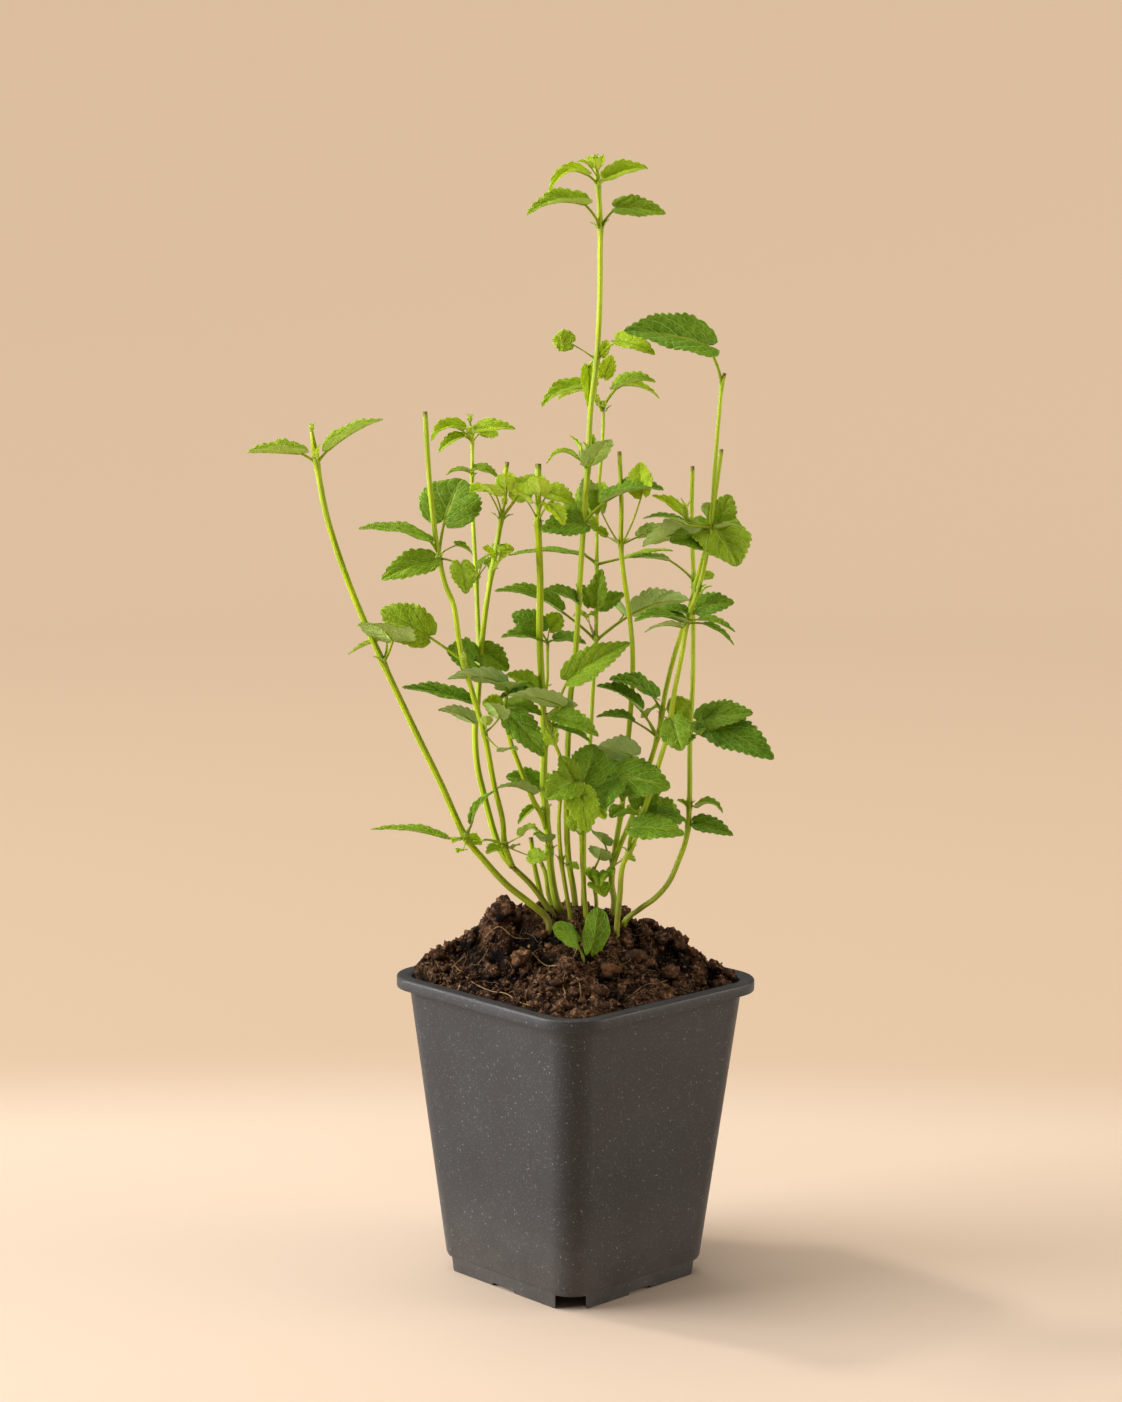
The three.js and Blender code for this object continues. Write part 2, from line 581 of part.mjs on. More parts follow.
// A rod of square section along points, with a half width at each point
function rod(points, widths) {
  const rings = points.map((point, k) => {
    const ahead = points[Math.min(k + 1, points.length - 1)];
    const behind = points[Math.max(k - 1, 0)];
    const along = ahead.clone().sub(behind).normalize();
    const normal = FRONT.clone().addScaledVector(along, -FRONT.dot(along)).normalize();
    const side = along.clone().cross(normal);
    return [[1, 1], [-1, 1], [-1, -1], [1, -1]].map(([u, v]) =>
      point.clone().addScaledVector(normal, u * widths[k]).addScaledVector(side, v * widths[k]),
    );
  });
  return loft(rings);
}

// A thin sheet of three columns. stations: [upper points, lower points], each from right to left.
// Both faces are cut into the same triangles, so that a waved sheet keeps its thickness.
function sheet(stations) {
  const faces = [];
  for (let k = 0; k < 6 * (stations.length - 1); k += 6) {
    const halves = [
      [k, k + 1, k + 7], [k, k + 7, k + 6],
      [k + 1, k + 2, k + 7], [k + 2, k + 8, k + 7],
    ];
    faces.push(...halves, ...halves.map(([a, b, c]) => [a + 3, c + 3, b + 3]));
    faces.push([k + 3, k, k + 6], [k + 3, k + 6, k + 9], [k + 2, k + 5, k + 11], [k + 2, k + 11, k + 8]);
  }
  const end = 6 * (stations.length - 1);
  for (const [a, b, c] of [[0, 2, 1], [0, 5, 2], [0, 4, 5], [0, 3, 4]]) {
    faces.push([a, b, c], [end + a, end + c, end + b]);
  }
  return solid(stations.flat(2), faces);
}

// Half width of an oval blade at a share of its length, before its teeth
const bladeHalf = (share, width) => (width / 2) * Math.sin(Math.PI * share ** 0.62) ** 0.75;

// Places along a blade where its edge turns: [share of the length, share of the half width]
function bladeEdge(length, smooth) {
  if (smooth) return [0.1, 0.3, 0.55, 0.8].map((share) => [share, 1]);
  const teeth = 1 + TOOTHED_FROM.filter((least) => length >= least).length;
  const edge = [];
  for (let k = 0; k < teeth; k++) {
    if (k > 0) edge.push([k / teeth, 0.84]);
    edge.push([(k + 0.66) / teeth, 1.08]);
  }
  return edge;
}

// One leaf from the stem's axis: a thin stalk that ends in a blade, folded along its midrib
function makeLeaf(node, [, start, tip, width, lean, [fold, arch]], smooth) {
  const base = place(start);
  const end = place(tip);
  const length = base.distanceTo(end);
  const axis = end.clone().sub(base).normalize();
  const level = UP.clone().addScaledVector(axis, -UP.dot(axis)).normalize();
  const across = axis.clone().cross(level);
  if (across.dot(FRONT) < 0) across.negate();
  const angle = THREE.MathUtils.degToRad(lean);
  const face = level.multiplyScalar(Math.cos(angle)).addScaledVector(across, Math.sin(angle));
  const side = face.clone().cross(axis);
  const lift = THREE.MathUtils.degToRad(fold);
  const midrib = (share) =>
    base
      .clone()
      .addScaledVector(axis, share * length)
      .addScaledVector(face, 4 * arch * length * share * (1 - share));
  const slopeAt = (share) => Math.atan(4 * arch * (1 - 2 * share));
  const upAt = (share) =>
    face.clone().multiplyScalar(Math.cos(slopeAt(share))).addScaledVector(axis, -Math.sin(slopeAt(share)));

  // A diamond across the leaf's path: half its width, half its depth
  const diamond = (centre, right, top, half, depth) => {
    const r = centre.clone().addScaledVector(right, half);
    const l = centre.clone().addScaledVector(right, -half);
    return [1, -1].map((sign) => [r, centre.clone().addScaledVector(top, sign * depth), l]);
  };

  // Stalk
  const reach = node.distanceTo(base);
  const root = node.clone().lerp(base, Math.min(0.6 / reach, 0.3));
  const small = length < TOOTHED_FROM[0];
  const thick = small ? FINE_STALK : STALK;
  const bend = root.clone().lerp(base, 0.5).addScaledVector(axis, -0.15 * reach);
  const path = new THREE.QuadraticBezierCurve3(root, bend, base);
  const joints = reach < 2.5 ? [0] : reach < 12 ? [0, 0.95] : [0, 0.5, 0.97];
  const stations = [];
  let top = upAt(0);
  for (const t of joints.reverse()) {
    const along = path.getTangent(t);
    top = top.clone().addScaledVector(along, -top.dot(along)).normalize();
    stations.unshift(diamond(path.getPoint(t), top.clone().cross(along), top, thick, thick));
  }

  // Blade
  if (small) {
    stations.push(diamond(midrib(0.45), side, upAt(0.45), width / 2, BLADE));
    stations.push(diamond(midrib(1), side, upAt(1), 0.3, BLADE / 2));
    return sheet(stations);
  }
  const edge = bladeEdge(length, smooth);
  const ribs = Math.ceil(edge.length / 2);
  for (const [share, tooth] of [[0.02, 0], ...edge, [1, 0]]) {
    const up = upAt(share);
    const out = tooth ? bladeHalf(share, width) * tooth : share < 1 ? 0.12 * width + 0.4 : 0;
    const wings = [1, -1].map((sign) => [
      side.clone().multiplyScalar(sign * out * Math.cos(lift)).addScaledVector(up, out * Math.sin(lift)),
      share < 1
        ? up.clone().multiplyScalar(Math.cos(lift)).addScaledVector(side, -sign * Math.sin(lift))
        : up,
    ]);
    const crease = share < 1 ? 1 / Math.cos(lift) : 1;
    const rib = midrib(Math.round(share * ribs) / ribs);
    const [[right, rightSkin], [left, leftSkin]] = wings;
    stations.push(
      [BLADE / 2, -BLADE / 2].map((off) => [
        midrib(share).add(right).addScaledVector(rightSkin, off),
        rib.clone().addScaledVector(up, off * crease),
        midrib(share).add(left).addScaledVector(leftSkin, off),
      ]),
    );
  }
  return sheet(stations);
}

// A stem with its leaves, and the side shoots that branch from it
function makeStem({ route, thick, live = false, leaves = [], shoots = [], smooth = false }, rooted) {
  const points = route.map(place);
  if (rooted) points.unshift(points[0].clone().addScaledVector(UP, -ROOT_DEPTH));
  const curve = new THREE.CatmullRomCurve3(points, false, "centripetal");
  const steps = Math.max(3, Math.round(curve.getLength() / STEP));
  const axis = curve.getSpacedPoints(steps);
  const widths = axis.map((_, k) => {
    const taper = THREE.MathUtils.lerp(thick[0], thick[1], k / steps);
    return (live && k === steps ? 0.5 : 1) * FLAT * taper;
  });
  const parts = [rod(axis, widths)];
  const fine = curve.getSpacedPoints(200);
  for (const leaf of leaves) {
    const root = fine.reduce((best, p) => (Math.abs(p.z - leaf[0]) < Math.abs(best.z - leaf[0]) ? p : best));
    parts.push(makeLeaf(root, leaf, smooth));
  }
  for (const shoot of shoots) parts.push(makeStem(shoot, false));
  return rooted ? whole(joined(parts)) : joined(parts);
}

// The hole that a stem stands in: its own foot, a little wider, from under its root to above the soil
function rootHole({ route, thick }) {
  const points = route.map(place);
  points.unshift(points[0].clone().addScaledVector(UP, -ROOT_DEPTH));
  const curve = new THREE.CatmullRomCurve3(points, false, "centripetal");
  const steps = Math.max(3, Math.round(curve.getLength() / STEP));
  const axis = curve.getSpacedPoints(steps);
  const reach = axis.findIndex((p) => p.z > points[1].z + 12);
  const foot = reach < 0 ? axis : axis.slice(0, reach + 1);
  foot[0] = foot[0].clone().addScaledVector(UP, -HOLE_CLEAR);
  return rod(foot, foot.map(() => FLAT * thick[0] + HOLE_CLEAR));
}

// Materials
const plastic = new THREE.MeshStandardMaterial({ color: 0x45413f, roughness: 0.62, metalness: 0 });
const peat = new THREE.MeshStandardMaterial({ color: 0x2a1a10, roughness: 0.97, metalness: 0 });
const leafGreen = new THREE.MeshStandardMaterial({ color: 0x5f9a2e, roughness: 0.55, metalness: 0 });
const cutBrown = new THREE.MeshStandardMaterial({ color: 0x6f5a2a, roughness: 0.7, metalness: 0 });

function mesh(name, body, material) {
  const { numProp, vertProperties, triVerts } = body.getMesh();
  const geometry = new THREE.BufferGeometry();
  const corners = new THREE.InterleavedBuffer(new Float32Array(vertProperties), numProp);
  geometry.setAttribute("position", new THREE.InterleavedBufferAttribute(corners, 3, 0));
  geometry.setIndex(Array.from(triVerts));
  const flat3 = geometry.toNonIndexed();
  flat3.computeVertexNormals();
  const made = new THREE.Mesh(flat3, material);
  made.name = name;
  return made;
}

const hyssop = new THREE.Group();
hyssop.name = "potted_anise_hyssop";
hyssop.add(mesh("pot", makePot(), plastic));
hyssop.add(mesh("soil", makeSoil(Object.values(STEMS).map(rootHole)), peat));
for (const [name, stem] of Object.entries(STEMS)) {
  hyssop.add(mesh(name, makeStem(stem, true), name.startsWith("stub") ? cutBrown : leafGreen));
}

export default hyssop;
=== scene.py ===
# %% [markdown]
# # A young anise hyssop in its nursery pot
# The real thing is a tapered square plastic pot, a mounded root ball of dark peat, and about fifteen
# square mint stems with toothed leaves. It could be scanned, or scattered from a few ready leaves. Here
# every surface is a formula on a grid of two parameters, so that each leaf keeps its own length, fold
# and tilt, and the whole plant can be grown again with other numbers.

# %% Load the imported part
import itertools
import math

import bmesh
import bpy
import numpy as np
from mathutils import Matrix, Vector


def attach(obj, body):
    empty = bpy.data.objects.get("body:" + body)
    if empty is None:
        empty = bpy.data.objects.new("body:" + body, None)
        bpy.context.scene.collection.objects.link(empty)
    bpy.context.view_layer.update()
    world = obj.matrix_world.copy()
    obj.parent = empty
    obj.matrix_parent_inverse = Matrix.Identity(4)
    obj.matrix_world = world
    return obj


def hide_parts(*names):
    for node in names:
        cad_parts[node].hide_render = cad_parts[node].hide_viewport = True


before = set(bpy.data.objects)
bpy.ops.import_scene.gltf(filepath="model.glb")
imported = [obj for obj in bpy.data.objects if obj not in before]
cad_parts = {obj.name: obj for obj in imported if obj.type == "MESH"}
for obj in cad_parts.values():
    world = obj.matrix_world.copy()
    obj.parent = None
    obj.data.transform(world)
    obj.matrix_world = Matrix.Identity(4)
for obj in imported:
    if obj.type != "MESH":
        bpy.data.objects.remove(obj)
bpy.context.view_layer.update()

# %% [markdown]
# ## Layout frame
# The plant was laid out as it is seen from the front: x to the right, y away from the front and z up, in
# millimetres, with the origin under the pot's centre. The part's own frame has the pot's sides along X
# and Y, so every layout point is turned by the same angle, which brings a corner of the pot forward.

# %% Layout frame
MM = 0.001
PLANT_TURN = math.radians(-43.8)
TURN = np.array([
    [math.cos(PLANT_TURN), -math.sin(PLANT_TURN), 0],
    [math.sin(PLANT_TURN), math.cos(PLANT_TURN), 0],
    [0, 0, 1],
])
FRONT = np.array([0.0, -1.0, 0.0])
UP = np.array([0.0, 0.0, 1.0])


def to_part(points):
    """Layout points, in mm, turned about the upright axis and given in metres."""
    return np.asarray(points, float) @ TURN.T * MM


print("a metre to the front, in the part's frame:", to_part(1000 * FRONT).round(3))

# %% [markdown]
# ## Camera
# The picture is taken from a little above the top of the plant with a long lens, so upright lines stay
# almost parallel. The camera could be aimed by a constraint, but three plain turns are easier to read.

# %% Camera
CAMERA_AT = [-6.55, -1153.2, 406.2]
LENS = 77.03
PITCH_DOWN = 8.71
ROLL = 0.46


def aim_camera():
    """Stands the camera at its layout point and turns it level, then down, then about its own axis."""
    data = bpy.data.cameras.new("camera")
    data.lens = LENS
    data.clip_start = 0.05
    camera = bpy.data.objects.new("camera", data)
    bpy.context.scene.collection.objects.link(camera)
    camera.location = to_part(CAMERA_AT)
    camera.rotation_mode = "ZXY"
    level = math.radians(90 - PITCH_DOWN)
    turn = (Matrix.Rotation(PLANT_TURN, 4, "Z") @ Matrix.Rotation(level, 4, "X")
            @ Matrix.Rotation(math.radians(ROLL), 4, "Z"))
    camera.rotation_euler = turn.to_euler("ZXY")
    bpy.context.scene.camera = camera
    return camera


print("camera at", [round(v, 3) for v in aim_camera().location])

# %% [markdown]
# ## Light
# A soft sun stands behind the left shoulder of the plant and shines through its leaves. A cool softbox to
# the left and a weaker warm one to the right graze the pot from its sides, so that the corner that faces
# the front stays darker than both faces. A dim pale sky fills in from all round. One large lamp would be
# simpler, but it would light the pot's corner and its faces alike.

# %% Light
SUN_FROM = [-0.927, 0.375, 1.10]
SUN_STRENGTH = 1.0
SUN_SPREAD = 7.0
SUN_COLOUR = (1.0, 0.93, 0.80)
# Softboxes: place in mm, width in metres, power in watts, colour
SOFTBOXES = {
    "top_softbox": ([-500, 300, 2200], 2.4, 49.0, (1.0, 0.95, 0.87)),
    "left_softbox": ([-1900, -250, 500], 1.4, 92.0, (0.93, 0.96, 1.0)),
    "right_softbox": ([1900, -150, 450], 1.2, 32.0, (1.0, 0.94, 0.86)),
}
LIT_POINT = (0, 0, 150)
SKY_COLOUR = (1.0, 0.93, 0.84)
SKY_STRENGTH = 0.17


def add_lamp(name, kind, power, colour, at, target=(0, 0, 0)):
    """A lamp that the camera itself doesn't see. It shines along its own -Z, which is turned to run from
    its place to the target."""
    data = bpy.data.lights.new(name, kind)
    data.energy = power
    data.color = colour
    lamp = bpy.data.objects.new(name, data)
    bpy.context.scene.collection.objects.link(lamp)
    lamp.location = to_part(at)
    shine = Vector(to_part(target)) - lamp.location
    lamp.rotation_euler = shine.to_track_quat("-Z", "Y").to_euler()
    lamp.visible_camera = False
    return data


sun = add_lamp("sun", "SUN", SUN_STRENGTH, SUN_COLOUR, [1000 * v for v in SUN_FROM])
sun.angle = math.radians(SUN_SPREAD)
for name, (at, size, power, colour) in SOFTBOXES.items():
    add_lamp(name, "AREA", power, colour, at, LIT_POINT).size = size

world = bpy.data.worlds.new("studio")
bpy.context.scene.world = world
world.use_nodes = True
world.node_tree.nodes["Background"].inputs["Color"].default_value = (*SKY_COLOUR, 1)
world.node_tree.nodes["Background"].inputs["Strength"].default_value = SKY_STRENGTH
bpy.context.scene.view_settings.view_transform = "Standard"
print("sun stands", round(math.degrees(math.atan2(SUN_FROM[2], math.hypot(*SUN_FROM[:2])))), "degrees high")

# %% [markdown]
# ## From grids of points to meshes
# Each surface is a skin: an array of points in rows and columns. The columns run once round the piece
# and the rows run along it, and a first or last row that shrinks to a point closes the end. Two small
# vectors are kept for every point, for the paint: where it lies on its leaf or stem, and what it is.

# %% Skins and pieces
MERGE_WITHIN = 2e-7


def skin(points, place=0.0, tint=0.0, finish=0):
    """One closed grid: points (rows, columns, 3) in layout mm, and its paint numbers and finish."""
    points = np.asarray(points, float)
    spread = lambda values: np.broadcast_to(np.asarray(values, float), points.shape).copy()
    return {"points": points, "place": spread(place), "tint": spread(tint), "finish": finish}


def grid_quads(rows, columns):
    """Corner numbers of the quads between neighbouring rows, with the last column joined to the first."""
    row, column = np.meshgrid(np.arange(rows - 1), np.arange(columns), indexing="ij")
    after = (column + 1) % columns
    corner = row * columns
    return np.stack([corner + column, corner + after, corner + columns + after,
                     corner + columns + column], axis=-1).reshape(-1, 4)


def join_skins(name, skins):
    """One mesh of all the skins, with their paint numbers as attributes and closed ends merged."""
    starts = np.cumsum([0] + [s["points"][..., 0].size for s in skins])
    quads = [grid_quads(*s["points"].shape[:2]) + start for s, start in zip(skins, starts)]
    points = to_part(np.concatenate([s["points"].reshape(-1, 3) for s in skins]))
    corners = np.concatenate(quads)
    mesh = bpy.data.meshes.new(name)
    mesh.vertices.add(len(points))
    mesh.vertices.foreach_set("co", points.astype(np.float32).ravel())
    mesh.loops.add(corners.size)
    mesh.loops.foreach_set("vertex_index", corners.astype(np.int32).ravel())
    mesh.polygons.add(len(corners))
    mesh.polygons.foreach_set("loop_start", np.arange(0, corners.size, 4, dtype=np.int32))
    finish = np.concatenate([np.full(len(q), s["finish"]) for q, s in zip(quads, skins)])
    mesh.polygons.foreach_set("material_index", finish.astype(np.int32))
    for kind in ("place", "tint"):
        values = np.concatenate([s[kind].reshape(-1, 3) for s in skins]).astype(np.float32)
        mesh.attributes.new(kind, "FLOAT_VECTOR", "POINT").data.foreach_set("vector", values.ravel())
    mesh.update(calc_edges=True)
    merged = bmesh.new()
    merged.from_mesh(mesh)
    bmesh.ops.remove_doubles(merged, verts=merged.verts, dist=MERGE_WITHIN)
    merged.to_mesh(mesh)
    merged.free()
    mesh.polygons.foreach_set("use_smooth", np.ones(len(mesh.polygons), bool))
    return mesh


def make_piece(name, skins, finishes, replaced=()):
    """A piece of the plant or pot that rides on the root and takes the place of the replaced solids."""
    mesh = join_skins(name, skins)
    for material in finishes:
        mesh.materials.append(material)
    piece = bpy.data.objects.new(name, mesh)
    bpy.context.scene.collection.objects.link(piece)
    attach(piece, "root")
    if replaced:
        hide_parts(*replaced)
    print(name, "triangles:", sum(len(p.vertices) - 2 for p in mesh.polygons))
    return piece


print("quads in a tube of 3 rings with 8 points each:", len(grid_quads(3, 8)))

# %% [markdown]
# ## Paint helpers
# A finish is a small graph of shader nodes. These helpers add a node, mix two colours, and turn a number
# into a soft mask, so that each finish below reads as a list of what is seen on the real surface.

# %% Paint helpers
def start_finish(name, roughness):
    """A new material with one Principled shader. Returns it, its node tree and that shader."""
    material = bpy.data.materials.new(name)
    material.use_nodes = True
    tree = material.node_tree
    shader = tree.nodes["Principled BSDF"]
    shader.inputs["Roughness"].default_value = roughness
    return material, tree, shader


def feed(tree, socket, value):
    """Links a socket to another one, or sets it to a plain value."""
    if isinstance(value, bpy.types.NodeSocket):
        tree.links.new(value, socket)
    else:
        socket.default_value = (*value, 1) if isinstance(value, tuple) and len(value) == 3 else value


def blend_colour(tree, share, first, second):
    """first where the share is 0 and second where it is 1."""
    node = tree.nodes.new("ShaderNodeMix")
    node.data_type = "RGBA"
    feed(tree, node.inputs["Factor"], share)
    feed(tree, node.inputs["A"], first)
    feed(tree, node.inputs["B"], second)
    return node.outputs["Result"]


def sums(tree, way, *values):
    """One step of arithmetic on numbers or sockets."""
    node = tree.nodes.new("ShaderNodeMath")
    node.operation = way
    for socket, value in zip(node.inputs, values):
        feed(tree, socket, value)
    return node.outputs["Value"]


def times(tree, first, second):
    """The product of two numbers or sockets, which keeps one mask within another."""
    return sums(tree, "MULTIPLY", first, second)


def ramp(tree, value, low, high, to_low=0.0, to_high=1.0):
    """Carries low..high over to to_low..to_high along a smooth step, and holds it beyond them."""
    node = tree.nodes.new("ShaderNodeMapRange")
    node.interpolation_type = "SMOOTHSTEP"
    for key, number in zip(("Value", "From Min", "From Max", "To Min", "To Max"),
                           (value, low, high, to_low, to_high)):
        feed(tree, node.inputs[key], number)
    return node.outputs["Result"]


def object_place(tree, stretch=(1, 1, 1)):
    """Object coordinates, times the stretch of each axis."""
    mapping = tree.nodes.new("ShaderNodeMapping")
    mapping.inputs["Scale"].default_value = stretch
    source = tree.nodes.new("ShaderNodeTexCoord")
    tree.links.new(source.outputs["Object"], mapping.inputs["Vector"])
    return mapping.outputs["Vector"]


def noise(tree, scale, detail=3.0, roughness=0.55, stretch=(1, 1, 1)):
    """Cloudy noise from 0 to 1 on Object coordinates; scale is in cells a metre."""
    node = tree.nodes.new("ShaderNodeTexNoise")
    node.inputs["Scale"].default_value = scale
    node.inputs["Detail"].default_value = detail
    node.inputs["Roughness"].default_value = roughness
    tree.links.new(object_place(tree, stretch), node.inputs["Vector"])
    return node.outputs["Fac"]


def cells(tree, scale, feature="DISTANCE_TO_EDGE", stretch=(1, 1, 1)):
    """Irregular cells on Object coordinates: the distance to a cell's edge, or with F1 to its middle."""
    node = tree.nodes.new("ShaderNodeTexVoronoi")
    node.feature = feature
    node.inputs["Scale"].default_value = scale
    tree.links.new(object_place(tree, stretch), node.inputs["Vector"])
    return node.outputs["Distance"]


def numbers(tree, name):
    """The three paint numbers that a piece keeps for each point, as separate sockets."""
    attribute = tree.nodes.new("ShaderNodeAttribute")
    attribute.attribute_name = name
    parts = tree.nodes.new("ShaderNodeSeparateXYZ")
    tree.links.new(attribute.outputs["Vector"], parts.inputs[0])
    return [parts.outputs[axis] for axis in "XYZ"]


def relief(tree, height, distance, strength=1.0, under=None):
    """A bump from a height of 0 to 1 that stands for the given distance in metres."""
    node = tree.nodes.new("ShaderNodeBump")
    node.inputs["Strength"].default_value = strength
    node.inputs["Distance"].default_value = distance
    tree.links.new(height, node.inputs["Height"])
    if under is not None:
        tree.links.new(under, node.inputs["Normal"])
    return node.outputs["Normal"]


# %% [markdown]
# ## Floor and backdrop
# The studio is a pale floor and a pale wall that curves round everything far away. The floor gets a
# little deeper in tone away from the pot, so it runs into the wall without a line. Only the camera sees
# the wall: light passes it, so it brightens or colours nothing.

# %% Floor and backdrop
FLOOR_LEVEL = -0.05
FLOOR_RINGS = (0, 400, 1200, 2000)
WALL_BEND = 900
WALL_HEIGHT = 2600
BEND_STEPS = 60
FLOOR_TONE = (0.57, 0.455, 0.36)
WALL_TONE = (0.12, 0.092, 0.068)
WALL_GLOW = (0.61, 0.44, 0.292)
TONE_FADE = (0.18, 0.34)


def revolve(profile, sides=128):
    """A profile of (radius, height) pairs carried round the upright axis."""
    profile = np.array(profile, float)
    angle = np.linspace(0, 2 * math.pi, sides, endpoint=False)
    ring = np.stack([np.cos(angle), np.sin(angle), np.zeros(sides)], axis=-1)
    return profile[:, None, :1] * ring + profile[:, None, 1:] * UP


def stage_finish(name):
    """Away from the middle the sheet's light no longer comes from the lamps: it takes the even tone of
    the wall. The distance counts less across the picture than away from the camera."""
    material, tree, shader = start_finish(name, 0.9)
    parts = []
    for share, direction in ((0.4, [1, 0, 0]), (1.0, [0, 1, 0])):
        along = tree.nodes.new("ShaderNodeVectorMath")
        along.operation = "DOT_PRODUCT"
        along.inputs[1].default_value = share * (TURN @ direction)
        tree.links.new(object_place(tree), along.inputs[0])
        parts.append(sums(tree, "POWER", sums(tree, "ABSOLUTE", along.outputs["Value"]), 2.0))
    even = ramp(tree, sums(tree, "SQRT", sums(tree, "ADD", *parts)), *TONE_FADE)
    feed(tree, shader.inputs["Base Color"], blend_colour(tree, even, FLOOR_TONE, WALL_TONE))
    feed(tree, shader.inputs["Emission Color"], blend_colour(tree, even, (0.0, 0.0, 0.0), WALL_GLOW))
    shader.inputs["Emission Strength"].default_value = 1.0
    shader.inputs["Specular IOR Level"].default_value = 0.0
    return material


def make_stage(name, profile):
    """A plain pale sheet of the studio, facing up and inwards."""
    points = revolve(profile)
    quads = grid_quads(*points.shape[:2])[:, ::-1]
    mesh = bpy.data.meshes.new(name)
    mesh.from_pydata(to_part(points.reshape(-1, 3)).tolist(), [], quads.tolist())
    mesh.polygons.foreach_set("use_smooth", np.ones(len(mesh.polygons), bool))
    mesh.materials.append(stage_finish(name))
    stage = bpy.data.objects.new(name, mesh)
    bpy.context.scene.collection.objects.link(stage)
    return stage


make_stage("floor", [(radius, FLOOR_LEVEL) for radius in FLOOR_RINGS])
bend = [(FLOOR_RINGS[-1] + WALL_BEND * math.sin(a), WALL_BEND * (1 - math.cos(a)) + FLOOR_LEVEL)
        for a in np.linspace(0, math.pi / 2, BEND_STEPS)]
wall = make_stage("wall", bend + [(FLOOR_RINGS[-1] + WALL_BEND, WALL_HEIGHT)])
for way in ("diffuse", "glossy", "transmission", "shadow"):
    setattr(wall, "visible_" + way, False)
print("wall stands", (FLOOR_RINGS[-1] + WALL_BEND) * MM, "metres away")

# %% [markdown]
# ## The pot
# A thin injection-moulded pot: a square with round corners that widens upwards, a rolled rim, a foot
# with a notch at each corner and a shallow gap in each side, and drain holes. It could be a box with
# bevels, but one profile carried round a round-cornered square gives the taper and the rim in one go.

# %% Pot sizes
# Rim: half width, corner radius, height of its lip and radius of its rolled edge, in mm like all below
RIM_HALF = 55.0
RIM_CORNER = 17.5
RIM_LIP = 4.5
RIM_ROUND = 0.8
POT_HEIGHT = 120.0
WALL = 1.6
WALL_TOP_HALF, WALL_FOOT_HALF = 50.2, 38.2
WALL_TOP_CORNER, WALL_FOOT_CORNER = 12.0, 10.5
FLOOR_RISE, FLOOR_THICK = 4.5, 1.6
# The foot steps in below this height, by this much
FOOT_STEP = (6.6, 0.45)
CORNER_STEPS = 14
SIDE_CUTS = 6


def wall_half(z):
    """Half the width of the pot's wall at a height, along a straight line from foot to top."""
    return WALL_FOOT_HALF + (WALL_TOP_HALF - WALL_FOOT_HALF) * z / POT_HEIGHT


def wall_corner(z):
    """Radius of the wall's corners at a height, along a straight line from foot to top."""
    return WALL_FOOT_CORNER + (WALL_TOP_CORNER - WALL_FOOT_CORNER) * z / POT_HEIGHT


def square_ring(half, corner, z, steps=CORNER_STEPS, cuts=SIDE_CUTS):
    """A square with round corners: four quarter circles, with extra points along the straight sides."""
    quarter = np.linspace(0, math.pi / 2, steps + 1)
    x, y = half - corner + corner * np.cos(quarter), half - corner + corner * np.sin(quarter)
    side = (half - corner) * (1 - 2 * np.arange(1, cuts + 1) / (cuts + 1))
    x, y = np.append(x, side), np.append(y, np.full(cuts, half))
    turns = [(x, y), (-y, x), (-x, -y), (y, -x)]
    flat = np.concatenate([np.stack(pair, axis=-1) for pair in turns])
    return np.column_stack([flat, np.full(len(flat), z)])


def pot_frame(points):
    """The pot's rings are worked out along its own sides, so they are turned back into the layout."""
    return np.asarray(points, float) @ TURN


lean = math.degrees(math.atan(wall_half(1) - wall_half(0)))
print("the wall leans out by", round(lean, 1), "degrees")

# %% [markdown]
# ## Pot profile
# Seen in section, the wall is one line: out over the underside, up round the foot and its step, up the
# slope, out under the lip, over the rolled rim and down again inside, 1.6 mm further in. Giving a flat
# wall a thickness with a modifier would not make the lip, so the line goes round both sides.

